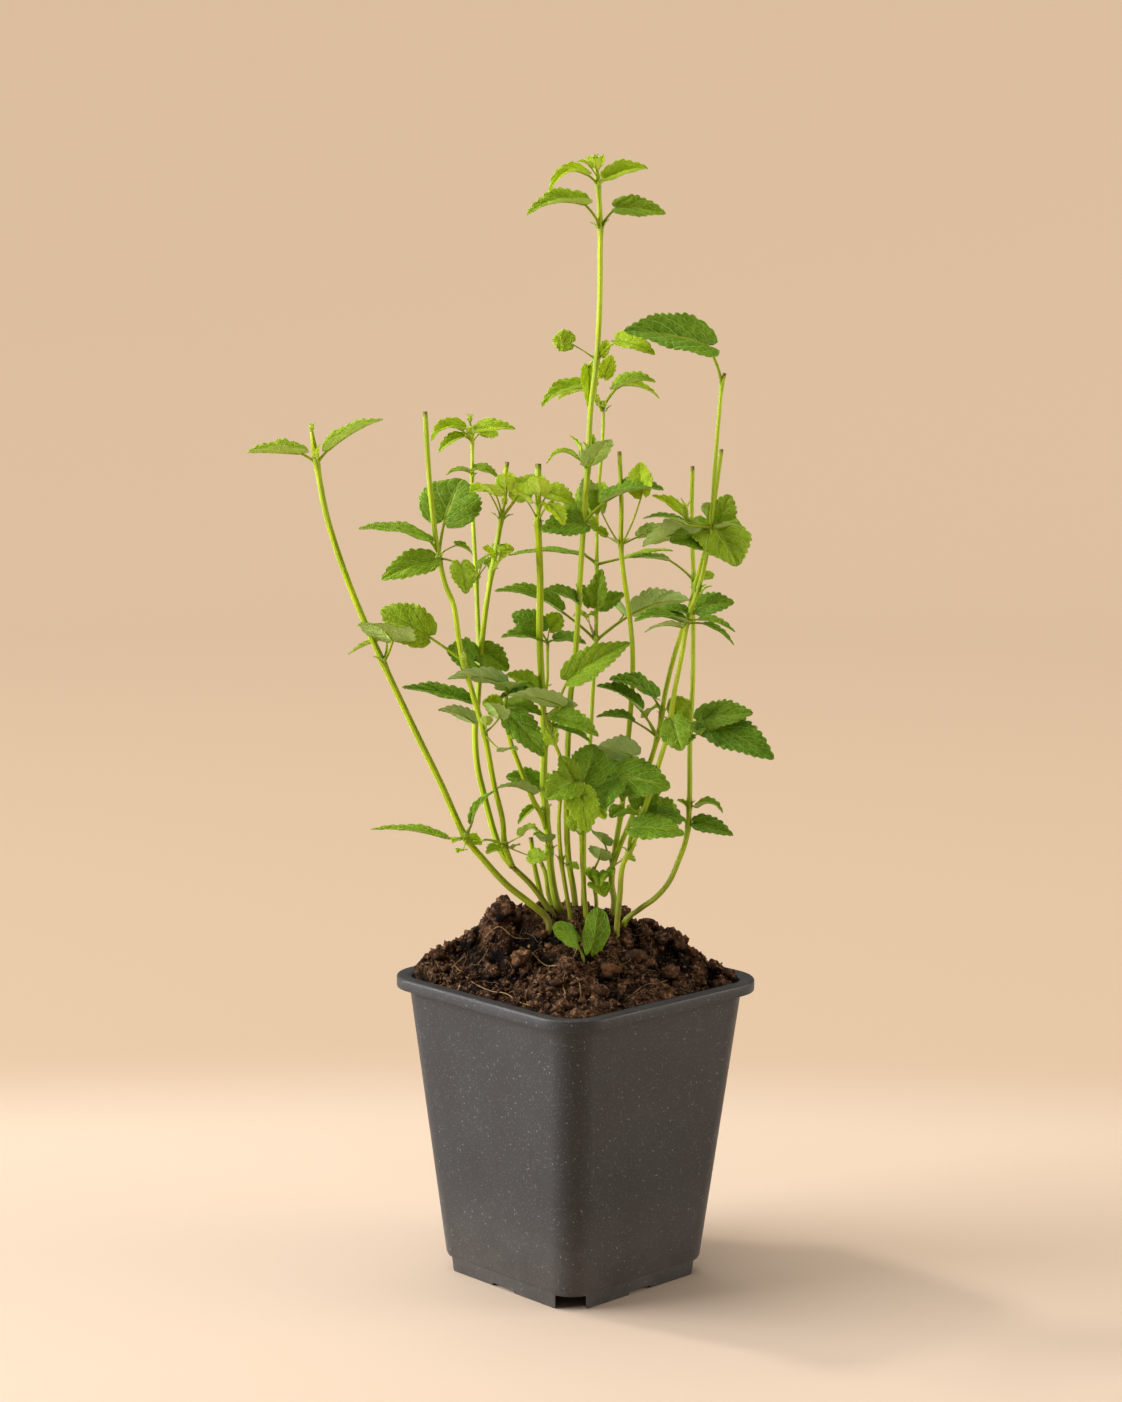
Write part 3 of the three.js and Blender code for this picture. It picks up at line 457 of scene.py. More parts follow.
# %% Pot profile
def pot_skin():
    """The pot's profile, from the middle of its underside out, up, over the rim and down inside. Each
    place is an offset outwards from the wall or the rim, and a height."""
    step_at, step_in = FOOT_STEP
    wall = lambda out, z: (wall_half(z) + out, wall_corner(z) + out, z)
    rim = lambda out, z: (RIM_HALF + out, RIM_CORNER + out, z)
    low_lip = POT_HEIGHT - RIM_LIP
    inside = FLOOR_RISE + FLOOR_THICK
    profile = [(0, 0, FLOOR_RISE), wall(-WALL - 7, FLOOR_RISE), wall(-WALL - 0.6, FLOOR_RISE)]
    profile += [wall(-WALL - step_in, FLOOR_RISE - 0.6), wall(-WALL - step_in, 0.35)]
    profile += [wall(-WALL - step_in + 0.3, 0), wall(-step_in - 0.4, 0), wall(-step_in - 0.1, 0.12)]
    profile += [wall(-step_in, 0.45), wall(-step_in, step_at - 0.3), wall(-step_in * 0.4, step_at)]
    profile += [wall(0, z) for z in (step_at + 0.35, 20, 45, 70, 95, 110, low_lip - 1.1)]
    profile += [wall(0.35, low_lip - 0.35), wall(1.3, low_lip)]
    profile += [rim(-0.5, low_lip), rim(-0.12, low_lip + 0.12), rim(0, low_lip + 0.5)]
    profile += [rim(-RIM_ROUND + RIM_ROUND * math.cos(a), POT_HEIGHT - RIM_ROUND + RIM_ROUND * math.sin(a))
                for a in np.radians(np.linspace(0, 90, 7))]
    profile += [rim(-3.2, POT_HEIGHT - 0.15), wall(-0.6, POT_HEIGHT - 0.25)]
    profile += [wall(-WALL + 0.3, POT_HEIGHT - 0.7)]
    profile += [wall(-WALL, z) for z in (POT_HEIGHT - 1.6, 90, 50, 20, inside + 1)]
    profile += [wall(-WALL - 1, inside), (0, 0, inside)]
    around = 4 * (CORNER_STEPS + 1 + SIDE_CUTS)
    rings = [square_ring(half, corner, z) if half else np.tile([0, 0, z], (around, 1))
             for half, corner, z in profile]
    return skin(pot_frame(rings))


print("rings in the pot's profile:", len(pot_skin()["points"]))

# %% [markdown]
# ## Pot finish
# Charcoal plastic made from reground stock: a dull grain, pale specks and a few short fibres of other
# plastic caught in it, and thin dust towards the foot. The specks are small cells of which only the
# middles of a few are shown.

# %% Pot finish
# Specks and fibres: cells a metre, radius in cells, share left out, stretch, colour
SPECKS = [
    (820, 0.26, 0.42, (1, 1, 1), (0.085, 0.086, 0.090)),
    (360, 0.15, 0.52, (1, 1, 1), (0.170, 0.164, 0.155)),
    (520, 0.16, 0.56, (1, 1, 0.2), (0.090, 0.088, 0.086)),
    (520, 0.16, 0.58, (0.3, 0.3, 1), (0.085, 0.083, 0.081)),
]
DUST_HEIGHT = 0.05


def pot_finish():
    """Charcoal with a cloud and a grain, then the specks and fibres, then dust that fades upwards."""
    material, tree, shader = start_finish("charcoal_plastic", 0.5)
    base = blend_colour(tree, noise(tree, 28, 4), (0.026, 0.0255, 0.0265), (0.037, 0.0363, 0.0370))
    grain = ramp(tree, noise(tree, 1500, 2), 0.55, 0.75, 0, 0.35)
    base = blend_colour(tree, grain, base, (0.10, 0.10, 0.10))
    for scale, size, chance, stretch, colour in SPECKS:
        speck = ramp(tree, cells(tree, scale, "F1", stretch), size * 0.4, size, 1, 0)
        chosen = ramp(tree, noise(tree, scale * 0.33, 1), chance - 0.06, chance, 0, 1)
        base = blend_colour(tree, times(tree, speck, chosen), base, colour)
    height = tree.nodes.new("ShaderNodeSeparateXYZ")
    tree.links.new(object_place(tree), height.inputs[0])
    low = ramp(tree, height.outputs["Z"], 0.0, DUST_HEIGHT, 0.16, 0)
    base = blend_colour(tree, times(tree, low, noise(tree, 90, 5)), base, (0.34, 0.29, 0.24))
    feed(tree, shader.inputs["Base Color"], base)
    feed(tree, shader.inputs["Roughness"], ramp(tree, noise(tree, 60, 4), 0.3, 0.7, 0.36, 0.5))
    shader.inputs["Specular IOR Level"].default_value = 0.25
    feed(tree, shader.inputs["Normal"], relief(tree, noise(tree, 1900, 2), 0.00012, 0.35))
    return material


# %% [markdown]
# ## Foot, notches and drain holes
# The moulded foot lets water out: a notch at each corner, a shallow gap in each side and holes in the
# floor, with a round pad where the plastic was let in. They could be modelled into the rings, but plain
# prisms that are cut out of the finished wall keep both easy to read.

# %% Cut the foot
# Gaps and notches: width, height, and how far from the centre the cut starts and ends
SIDE_GAP = (12.0, 1.3, 20, 60)
FOOT_GAP = (11.8, 5.8, 40, 80)
# They are cut from a little under the pot, so that no film is left below them
CUT_FROM = -1
# Drain holes: radius, distance from the centre, and the heights between which they are cut
DRAIN_RADIUS, DRAIN_REACH = 4.5, 21.0
DRAIN_CUT = (1, 8)
# The pad under the floor: radius, sides, and how far it reaches into the floor
PAD_RADIUS, PAD_SIDES, PAD_SINK = 7.0, 40, 0.5
# Edges that turn by more than this, in degrees, stay sharp
SHARP_ANGLE = 28


def prism(outline, low, high):
    """An upright prism over a flat outline, as a closed grid of four rows."""
    outline = np.array(outline, float)
    middle = outline.mean(axis=0)
    rows = [(0, low), (1, low), (1, high), (0, high)]
    at = lambda share, z: np.column_stack([middle + share * (outline - middle), np.full(len(outline), z)])
    return skin(pot_frame([at(share, z) for share, z in rows]))


def bar(width, inner, outer, angle):
    """A flat rectangle that runs out from the centre at an angle in degrees."""
    a = math.radians(angle)
    turn = np.array([[math.cos(a), -math.sin(a)], [math.sin(a), math.cos(a)]])
    half = width / 2
    return np.array([[inner, -half], [outer, -half], [outer, half], [inner, half]]) @ turn.T


def disc(x, y, radius, sides=28):
    """A flat round outline."""
    angle = np.linspace(0, 2 * math.pi, sides, endpoint=False)
    return np.column_stack([x + radius * np.cos(angle), y + radius * np.sin(angle)])


def foot_cutters():
    """On each side of the pot a side gap, a corner notch and a drain hole."""
    cutters = []
    for side in range(0, 360, 90):
        a = math.radians(side)
        for (width, high, inner, outer), angle in ((SIDE_GAP, side), (FOOT_GAP, side + 45)):
            cutters.append(prism(bar(width, inner, outer, angle), CUT_FROM, high))
        hole = disc(DRAIN_REACH * math.cos(a), DRAIN_REACH * math.sin(a), DRAIN_RADIUS)
        cutters.append(prism(hole, *DRAIN_CUT))
    return cutters


def cut(piece, cutter_skins, way="DIFFERENCE"):
    """Takes the cutters out of a piece, or joins them to it, and keeps the result as its mesh."""
    tool = make_piece("cutter", cutter_skins, [])
    change = piece.modifiers.new("cut", "BOOLEAN")
    change.object = tool
    change.operation = way
    change.solver = "EXACT"
    shaped = bpy.data.meshes.new_from_object(piece.evaluated_get(bpy.context.evaluated_depsgraph_get()))
    piece.modifiers.clear()
    piece.data = shaped
    bpy.data.objects.remove(tool)


pot = make_piece("nursery_pot", [pot_skin()], [pot_finish()], ["pot"])
cut(pot, foot_cutters())
cut(pot, [prism(disc(0, 0, PAD_RADIUS, PAD_SIDES), 0, FLOOR_RISE + PAD_SINK)], "UNION")
pot.data.polygons.foreach_set("use_smooth", np.ones(len(pot.data.polygons), bool))
pot.data.set_sharp_from_angle(angle=math.radians(SHARP_ANGLE))
print("pot faces after cutting:", len(pot.data.polygons))

# %% [markdown]
# ## Soil
# Damp peat with bark: clods of every size heaped towards the stems, higher on the left. A displaced
# plane would look like a cushion, so the height is a heap of billows: noise whose zero lines become sharp
# clefts between rounded lumps.

# %% Soil sizes
# Height of the soil at the wall, of the mound above that, and the gap that it keeps to the wall
SOIL_EDGE = 117.5
SOIL_MOUND = 28.0
CLEAR = 0.3
# The mound's ridge from left to right: place, share of its height
RIDGE = np.array([[-72, 0], [-66, 0.14], [-58, 0.34], [-48, 0.56], [-34, 0.93], [-28, 1], [0, 0.95],
                  [20, 0.86], [38, 0.66], [46, 0.42], [64, 0.12], [72, 0]])
# Billows: size of a lump, height, seed
BILLOWS = [(15.0, 4.2, 3), (7.0, 3.6, 4), (3.4, 2.0, 5), (1.7, 0.9, 6)]


def lattice_noise(points, size, seed):
    """Smooth noise from -1 to 1: random numbers on a cubic lattice of the given size, blended between
    the eight corners round each point."""
    table = np.random.default_rng(seed).uniform(-1, 1, (32, 32, 32))
    cell = points / size
    low = np.floor(cell).astype(int)
    share = cell - low
    share = share * share * (3 - 2 * share)
    total = np.zeros(points.shape[:-1])
    for corner in itertools.product((0, 1), repeat=3):
        at = (low + corner) % 32
        weight = np.prod(np.where(corner, share, 1 - share), axis=-1)
        total += table[at[..., 0], at[..., 1], at[..., 2]] * weight
    return total


def mound_height(x, y):
    """Along its ridge the mound has a share of its height, and it falls to the rim before and behind."""
    reach = y / np.maximum(70 - np.abs(x), 6)
    fall = np.where(reach < 0, 1 / (1 + (reach / 0.27) ** 2), np.maximum(0, 1 - reach ** 2))
    return SOIL_EDGE + SOIL_MOUND * np.interp(x, *RIDGE.T) * fall


def soil_height(x, y, edge=1.0):
    """The mound with its billows: each adds its height times a root of the noise's distance from zero,
    so that lumps are round and the clefts between them sharp. edge fades them out at the pot's wall."""
    place = np.stack([x, y, np.zeros_like(x)], axis=-1)
    total = mound_height(x, y)
    for size, height, seed in BILLOWS:
        total = total + edge * height * (np.abs(lattice_noise(place, size, seed)) ** 0.7 - 0.45)
    return total


print("soil stands", round(float(mound_height(-28, 0)) - POT_HEIGHT, 1), "mm proud of the rim")

# %% [markdown]
# ## Soil bed
# The heap fills the pot down to its floor, so that nothing hollow shows at the rim. Its paint is red-brown
# on the lumps, with fine tan grains, and painted shade makes it near black in the clefts. Each point keeps
# how high it lies in its billow, which sets that painted shade and which a picture of soil could not
# follow.

# %% Soil bed
def soil_skin(rings=84, sides=28):
    """Rings that shrink from the wall to the middle of the mound, over a plain foot in the pot."""
    low = FLOOR_RISE + FLOOR_THICK + CLEAR
    inside = lambda z: wall_half(z) - WALL - CLEAR
    ring = lambda z: square_ring(inside(z), wall_corner(z) - WALL, z, steps=sides, cuts=2 * sides)
    edge, foot = pot_frame(ring(SOIL_EDGE)), pot_frame(ring(low))
    share = np.linspace(1, 0, rings + 1)[:, None]
    x, y = edge[:, 0] * share, edge[:, 1] * share
    z = soil_height(x, y, np.clip((1 - share) / 0.05, 0.25, 1))
    top = np.stack([x, y, np.maximum(z, SOIL_EDGE - 1.5)], axis=-1)
    middle = np.zeros_like(foot) + [0, 0, low]
    # How high each point lies in its billow: the soil paint turns low points near black as painted shade.
    # The three hidden rows below get 0.
    height_for_shade = np.clip(0.5 + (z - mound_height(x, y)) / 6, 0, 1)
    height_for_shade = np.concatenate([np.zeros((3, height_for_shade.shape[1])), height_for_shade])
    return skin(np.concatenate([[middle, foot], [edge - [0, 0, 3]], top]), height_for_shade[..., None])


def soil_finish():
    """Painted shade makes the clefts and the undersides of the lumps near black; the peat is red-brown on
    the lumps, with tan threads and a few pale chips. place is how high a point lies in its billow or lump,
    which sets that painted shade, tint is (shade, redness, how tan)."""
    material, tree, shader = start_finish("damp_peat", 0.92)
    shade, red, tan = numbers(tree, "tint")
    height_for_shade = numbers(tree, "place")[0]
    cloud = ramp(tree, noise(tree, 160, 6, 0.7), 0.4, 0.64)
    base = blend_colour(tree, cloud, (0.014, 0.0066, 0.0036), (0.115, 0.054, 0.0250))
    fine = ramp(tree, noise(tree, 620, 4, 0.7), 0.5, 0.66, 0, 0.9)
    base = blend_colour(tree, fine, base, (0.400, 0.205, 0.100))
    bright = times(tree, sums(tree, "POWER", shade, 3.0), 0.75)
    warm = blend_colour(tree, red, (0.125, 0.066, 0.034), (0.200, 0.084, 0.032))
    base = blend_colour(tree, bright, base, warm)
    # Painted shade: near black where a point lies low in its billow or lump, in the clefts and under the
    # crumbs.
    base = blend_colour(tree, ramp(tree, height_for_shade, 0.3, 0.7, 1, 0), base, (0.0040, 0.0020, 0.0012))
    spots = ramp(tree, cells(tree, 420, "F1"), 0.0, 0.22, 1, 0)
    flecks = times(tree, spots, ramp(tree, noise(tree, 130, 1), 0.58, 0.66))
    base = blend_colour(tree, times(tree, flecks, 0.8), base, (0.22, 0.115, 0.05))
    thread = blend_colour(tree, shade, (0.20, 0.105, 0.042), (0.44, 0.265, 0.115))
    base = blend_colour(tree, ramp(tree, tan, 0.5, 0.95), base, thread)
    feed(tree, shader.inputs["Base Color"], base)
    feed(tree, shader.inputs["Roughness"], ramp(tree, noise(tree, 300, 3), 0.35, 0.65, 0.72, 0.98))
    shader.inputs["Specular IOR Level"].default_value = 0.1
    coarse = relief(tree, noise(tree, 380, 6, 0.75), 0.0024, 1.0)
    feed(tree, shader.inputs["Normal"], relief(tree, noise(tree, 1500, 3, 0.65), 0.0004, 0.7, coarse))
    return material


peat = soil_finish()
make_piece("soil_bed", [soil_skin()], [peat], ["soil"])

# %% [markdown]
# ## Clods and crumbs
# Loose lumps of every size lie on the mound, the largest listed along its outline and the rest thrown at
# random. Copies of one rock would show, so each lump is squashed, turned and dented by itself, and the
# smaller they are, the fewer faces they get.

# %% Clods and crumbs
# Clods: x, y, radius in mm
CLODS = [(-29, -2, 4.2), (-32, -3, 3.4), (-41, -3, 3.2), (-49, -2, 2.8), (-54, -2, 2.6), (-25, -3, 3.2),
         (34, -4, 3.8), (28, -4, 3.2), (41, -3, 3.2), (46, 0, 2.8), (53, -1, 2.4), (61, -2, 2.6),
         (30, 0, 3.0), (-13, -8, 4.0), (-21, -14, 4.4), (-4, -24, 3.6), (13, -22, 3.8), (24, -12, 4.0),
         (-33, -14, 3.6), (-8, -34, 4.2), (8, -36, 3.2), (-44, -14, 3.0), (37, -14, 3.2), (-16, 6, 3.6),
         (20, 6, 3.4)]
CLOD_LOOK = {"columns": 22, "rows": 13, "dents": 0.75}
CLOD_SEED = 21
# Crumbs: how many, least and most radius, columns and rows of faces, seed, dents, share lifted out
CRUMBS = [(140, 1.2, 3.0, 10, 7, 22, 0.8, 0.1), (850, 0.6, 1.5, 8, 6, 23, 0.7, 0.15),
          (4300, 0.35, 0.95, 5, 4, 24, 0.5, 0.3)]
CHIPS = (60, 0.4, 1.1, 6, 5, 25, 0.4, 0.5)
CHIP_TAN = 0.85


def lump(columns, rows):
    """A ball of few faces as (rows, columns, 3), to be squashed and dented into clods and crumbs."""
    across = np.linspace(0, 2 * math.pi, columns, endpoint=False)
    down = np.linspace(-math.pi / 2, math.pi / 2, rows)
    return np.stack([np.cos(down)[:, None] * np.cos(across), np.cos(down)[:, None] * np.sin(across),
                     np.sin(down)[:, None] + 0 * across], axis=-1)


def any_turn(count, dice):
    """Random turns as matrices, from random unit quaternions."""
    quaternions = dice.normal(size=(count, 4))
    w, x, y, z = quaternions.T / np.linalg.norm(quaternions, axis=1)
    rows = [1 - 2 * (y * y + z * z), 2 * (x * y - z * w), 2 * (x * z + y * w),
            2 * (x * y + z * w), 1 - 2 * (x * x + z * z), 2 * (y * z - x * w),
            2 * (x * z - y * w), 2 * (y * z + x * w), 1 - 2 * (x * x + y * y)]
    return np.stack(rows, axis=-1).reshape(-1, 3, 3)


def lumps_at(centre, radius, columns, rows, dice, dents, tan=0.0):
    """Lumps round the given centres: a ball times a random squash, turned, and dented by two sizes of
    noise. tan is how tan the paint shows them."""
    count = len(radius)
    ball = lump(columns, rows)[None] * dice.uniform(0.6, 1.15, (count, 1, 1, 3))
    shape = np.einsum("nij,nrcj->nrci", any_turn(count, dice), ball)
    offset = dice.uniform(0, 60, (count, 1, 1, 3))
    broad = lattice_noise(shape * 1.3 + offset, 1.0, 11)
    fine = lattice_noise(shape * 3 + offset, 1.0, 12)
    dent = 1 + dents * broad + 0.5 * dents * fine
    radius = radius[:, None, None, None]
    points = centre[:, None, None] + shape * dent[..., None] * radius
    # How high each point lies in its lump: the soil paint gives the lower part painted shade.
    height_for_shade = 0.55 + 0.5 * (points - centre[:, None, None])[..., 2:] / radius
    kind = dice.random((count, 3))
    kind[:, 2] = tan
    return [skin(p, np.clip(low, 0, 1), k) for p, low, k in zip(points, height_for_shade, kind)]


def crumb_skins(count, least, most, columns, rows, seed, dents, sink, tan=0.0):
    """Lumps of random size and place on the mound, more small than large, kept off the pot's corners."""
    dice = np.random.default_rng(seed)
    radius = least * (most / least) ** (dice.random(count) ** 2.2)
    x, y = dice.uniform(-1, 1, (2, count))
    reach = wall_half(SOIL_EDGE) - WALL - CLEAR - radius
    corner = np.maximum(np.abs(x) + np.abs(y) - 1.78, 0)
    x, y = x * (1 - corner) * reach, y * (1 - corner) * reach
    x, y, _ = pot_frame(np.stack([x, y, np.zeros(count)], axis=-1)).T
    centre = np.column_stack([x, y, soil_height(x, y) + radius * sink])
    return lumps_at(centre, radius, columns, rows, dice, dents, tan)


x, y, size = np.array(CLODS, float).T
clod_at = np.column_stack([x, y, soil_height(x, y) + 0.25 * size])
loose = lumps_at(clod_at, size, dice=np.random.default_rng(CLOD_SEED), **CLOD_LOOK)
for crumbs in CRUMBS:
    loose += crumb_skins(*crumbs)
loose += crumb_skins(*CHIPS, tan=CHIP_TAN)
make_piece("soil_crumbs", loose, [peat])

# %% [markdown]
# ## Paths and tubes
# Stems, stalks and roots are a round or square section carried along a path. The path is a smooth curve
# through hand-placed points, cut into equal steps, and the section stands square to it.

# %% Paths and tubes
def unit(vectors):
    """Vectors of the same direction and a length of 1."""
    return vectors / np.maximum(np.linalg.norm(vectors, axis=-1, keepdims=True), 1e-9)


def smooth_path(points, steps):
    """A centripetal Catmull-Rom curve: between two points it is the cubic whose end slopes come from
    their neighbours, weighted by the root of the distances. It is then cut into equal lengths."""
    points = np.asarray(points, float)
    if len(points) == 2:
        return points[0] + np.linspace(0, 1, steps)[:, None] * (points[1] - points[0])
    ends = np.concatenate([[2 * points[0] - points[1]], points, [2 * points[-1] - points[-2]]])
    t = np.linspace(0, 1, 25)[:, None]
    dense = []
    for p0, p1, p2, p3 in zip(ends, ends[1:], ends[2:], ends[3:]):
        d0, d1, d2 = (max(np.linalg.norm(b - a), 1e-6) ** 0.5 for a, b in ((p0, p1), (p1, p2), (p2, p3)))
        out = ((p1 - p0) / d0 - (p2 - p0) / (d0 + d1) + (p2 - p1) / d1) * d1
        into = ((p2 - p1) / d1 - (p3 - p1) / (d1 + d2) + (p3 - p2) / d2) * d1
        dense.append(p1 + out * t + (3 * (p2 - p1) - 2 * out - into) * t ** 2
                     + (2 * (p1 - p2) + out + into) * t ** 3)
    dense = np.concatenate(dense)
    length = np.concatenate([[0], np.cumsum(np.linalg.norm(np.diff(dense, axis=0), axis=1))])
    at = np.linspace(0, length[-1], steps)
    return np.stack([np.interp(at, length, dense[:, k]) for k in range(3)], axis=-1)


def over_ends(values):
    """Paint numbers of each ring or point, repeated for the two closed ends. Others stay as they are."""
    if np.ndim(values) < 2:
        return values
    return np.concatenate([values[:1], values, values[-1:]]).reshape(len(values) + 2, -1, 3)


def tube_skin(path, radius, sides, power=2.0, turn=0.0, towards=FRONT, place=0.0, tint=0.0, finish=0):
    """A tube whose section is the curve |x|^power + |y|^power = 1, so that 2 is round and 1.22 is a
    square with soft corners. Its first corner looks the way that towards says, less the turn in radians,
    and its ends close to points."""
    path = np.asarray(path, float)
    radius = np.broadcast_to(np.asarray(radius, float), len(path))[:, None, None]
    along = unit(np.gradient(path, axis=0))
    normal = unit(towards - (along @ towards)[:, None] * along)
    side = np.cross(along, normal)
    angle = np.linspace(0, 2 * math.pi, sides, endpoint=False)
    size = (np.abs(np.cos(angle)) ** power + np.abs(np.sin(angle)) ** power) ** (-1 / power)
    x, y = (size * wave(angle + turn) for wave in (np.cos, np.sin))
    ring = path[:, None] + radius * (x[None, :, None] * normal[:, None] + y[None, :, None] * side[:, None])
    closed = np.concatenate([np.broadcast_to(path[0], ring[:1].shape), ring,
                             np.broadcast_to(path[-1], ring[:1].shape)])
    return skin(closed, over_ends(place), over_ends(tint), finish)


quarter = smooth_path([[10, 0, 0], [7, 7, 0], [0, 10, 0]], 4)
print("a quarter turn of 10 mm radius in four points:", quarter.round(1).tolist())

# %% [markdown]
# ## Roots on the soil
# Tan dead roots and fibres cross the peat. The few long ones that show are listed, and short bent ones are
# thrown all over it. They are thin tubes and no hair, so that they stay in an exported mesh.

# %% Roots on the soil
# Threads: points on the soil in layout mm (x, y and how high above it), thickness
THREADS = [
    ([[-17, -14, 1.5], [-12, -18, 1.2], [-6, -24, 1.0], [-2, -30, 1.2], [1, -36, 1.4], [2, -41, 0.6]], 0.3),
    ([[-47, -8, 0.6], [-40, -19, 0.6], [-33, -25, 0.9], [-27, -32, 0.6], [-21, -43, 0.6],
      [-17, -48, 0.9]], 0.22),
    ([[22, -34, 0.8], [27, -26, 1.2], [33, -20, 1.2], [37, -16, 0.9]], 0.28),
    ([[33, -20, 1.0], [35, -25, 1.0], [34, -29, 0.6]], 0.2),
    ([[-4, -29, 0.9], [-5, -35, 1.0], [-4, -41, 0.8], [-5, -46, 0.6]], 0.22),
    ([[-2, -19, 1.0], [0, -17, 2.6], [1, -15, 4.0]], 0.2),
    ([[-35, -6, 0.8], [-30, -7, 1.0], [-24, -8, 0.9], [-18, -9, 0.8]], 0.22),
]
FIBRES, FIBRE_SEED = 150, 31


def thread_skin(points, thick, kind, sides=5, steps=26):
    """A round thread through points, thinner towards its ends. kind is what the paint reads."""
    taper = np.sin(np.linspace(0.25, math.pi - 0.2, steps)) ** 0.5
    return tube_skin(smooth_path(points, steps), thick * taper, sides, tint=kind)


def on_soil(points):
    """Lifts points given as x, y and height above the soil on to the mound."""
    points = np.array(points, float)
    points[..., 2] += soil_height(points[..., 0], points[..., 1])
    return points


def fine_fibres(count, seed):
    """Short bent threads laid flat on the soil in any direction, where they stay inside the pot."""
    dice = np.random.default_rng(seed)
    made = []
    for x, y in (wall_half(SOIL_EDGE) - 6) * dice.uniform(-1, 1, (count, 2)):
        heading, bend = dice.uniform(0, 2 * math.pi), dice.normal(0, 0.5)
        reach = np.linspace(0, dice.uniform(3, 11), 5)
        angle = heading + bend * reach / 6
        x, y = pot_frame([x, y, 0])[:2]
        flat = np.column_stack([x + reach * np.cos(angle), y + reach * np.sin(angle),
                                dice.uniform(0.1, 0.9, 5)])
        inside = np.abs(flat[:, :2] @ TURN[:2, :2].T).max(axis=1) < wall_half(SOIL_EDGE) - 3
        if inside.all():
            thick = dice.uniform(0.08, 0.2)
            made.append(thread_skin(on_soil(flat), thick, [dice.random(), 0, 0.8], 4, 9))
    return made


threads = [thread_skin(on_soil(points), thick, [0.85, 0, 1]) for points, thick in THREADS]
make_piece("loose_roots", threads + fine_fibres(FIBRES, FIBRE_SEED), [peat])

# %% [markdown]
# ## Leaves
# A hyssop leaf is an oval blade with rounded teeth that point forwards, folded a little along its midrib
# and arched along its length. Sunken veins run from the midrib to the edge and puff the blade up between
# them, and the underside is paler, with the same veins raised. One flat picture of a leaf would show its
# edge from every side, so the blade is a thin closed shell: a middle surface, and a face above and below.

# %% How a leaf lies
# Fold of each half in degrees, and arch of the midrib as a share of its length
FLAT = (12, 0.06)
OPEN = (17, 0.08)
HALF = (28, 0.11)
SHUT = (46, 0.13)
BOW = (44, 0.3)


def leaf_frame(start, tip, lean):
    """Directions of a leaf: along it, the way its face looks, and out to its right edge. The face is the
    upright direction square to the leaf, leant towards the front."""
    axis = unit(tip - start)
    level = unit(UP - axis @ UP * axis)
    across = np.cross(axis, level)
    across = across if across @ FRONT > 0 else -across
    face = math.cos(math.radians(lean)) * level + math.sin(math.radians(lean)) * across
    return axis, face, np.cross(face, axis)


flat_face = leaf_frame(np.zeros(3), np.array([1.0, 0, 0]), 0)[1]
print("a level leaf that isn't leant looks", flat_face.round(2))

# %% [markdown]
# ## The blade's edge
# The blade is drawn over two shares: u runs from 0 at its base to 1 at its tip, and v from 1 at the right
# edge to -1 at the left one. Rows lie close where the edge turns, and long leaves get more columns. The
# teeth could be a zigzag, but real ones are round, so each is half a wave that is bent forwards.

# %% The blade's edge
# Places across each half for leaves of at least this length in mm, from the edge to the midrib
COLUMNS = {0: [1, 0.8, 0.42, 0.1, 0], 9: [1, 0.93, 0.75, 0.48, 0.2, 0.06, 0],
           17: [1, 0.96, 0.87, 0.73, 0.56, 0.38, 0.2, 0.07, 0]}
TOOTH_ROWS, SMOOTH_ROWS = 7, 14


def leaf_rows(length, width, smooth):
    """Shares of the length at which the blade is drawn, close together at both ends, and its teeth."""
    teeth = max(3, round(2 + 0.17 * (length + 0.8 * width)))
    inner = np.linspace(0.05, 0.985, SMOOTH_ROWS if smooth else TOOTH_ROWS * teeth)
    return np.concatenate([[0, 0.004, 0.013, 0.028], inner, [0.993, 0.998, 1]])[:, None], teeth


def blade_outline(u, width, round_base, smooth):
    """Half the blade's width before its teeth are cut, where b is how round the base is:
    half the width * sin(pi u^0.6)^(0.8 - 0.4 b) * (1 - b / 0.55 exp(-u / 0.02)) * (1 - 0.3 u^3).
    The last two close the base and narrow the tip. A smooth leaf has half the width *
    sin(pi u^0.85)^0.45."""
    widest = width / 2
    outline = widest * np.sin(math.pi * u ** 0.6) ** (0.8 - 0.4 * round_base)
    outline = outline * (1 - round_base / 0.55 * np.exp(-u / 0.02)) * (1 - 0.3 * u ** 3)
    if smooth:
        outline = widest * np.sin(math.pi * u ** 0.85) ** 0.45
    outline[[0, -1]] = 0
    return outline


def blade_edge(u, near, outline, teeth, length, width, round_base, smooth):
    """How far each point lies along the blade and out from its midrib. The notches between the teeth are
    pushed in square to the outline, and their depth dies away towards the midrib:
    out = near * outline - the notch's part outwards
    along = u * length + the teeth's forward hook + the notch's part along - the base's round lobes."""
    phase = (u - 0.07) / 0.93 * teeth
    phase = np.where(u > 0.07, phase % 1, 0.5) ** 1.2
    bulge = 0 if smooth else np.clip(np.sin(math.pi * phase), 0, 1) ** 0.7
    deepest = min(0.42 * length / teeth, 0.3 + 0.06 * width)
    depth = 0 if smooth else deepest * np.sqrt(outline / (width / 2))
    slant = np.gradient(outline[:, 0], length * u[:, 0])[:, None]
    square = 1 / np.hypot(1, slant)
    notch = near ** 5 * depth * (0.65 - bulge)
    out = near * outline - square * notch
    hook = near ** 4 * depth * bulge * 0.35
    lobe = 0.42 * width * round_base * near ** 0.8 * np.exp(-(u / 0.13) ** 2)
    lobe = lobe * np.clip(u / 0.013, 0, 1) ** 0.5
    along = u * length + hook * np.sin(math.pi * u) ** 0.3 + square * slant * notch - lobe
    return along, out


print("teeth on each side of a leaf of 30 by 16 mm:", leaf_rows(30, 16, False)[1])

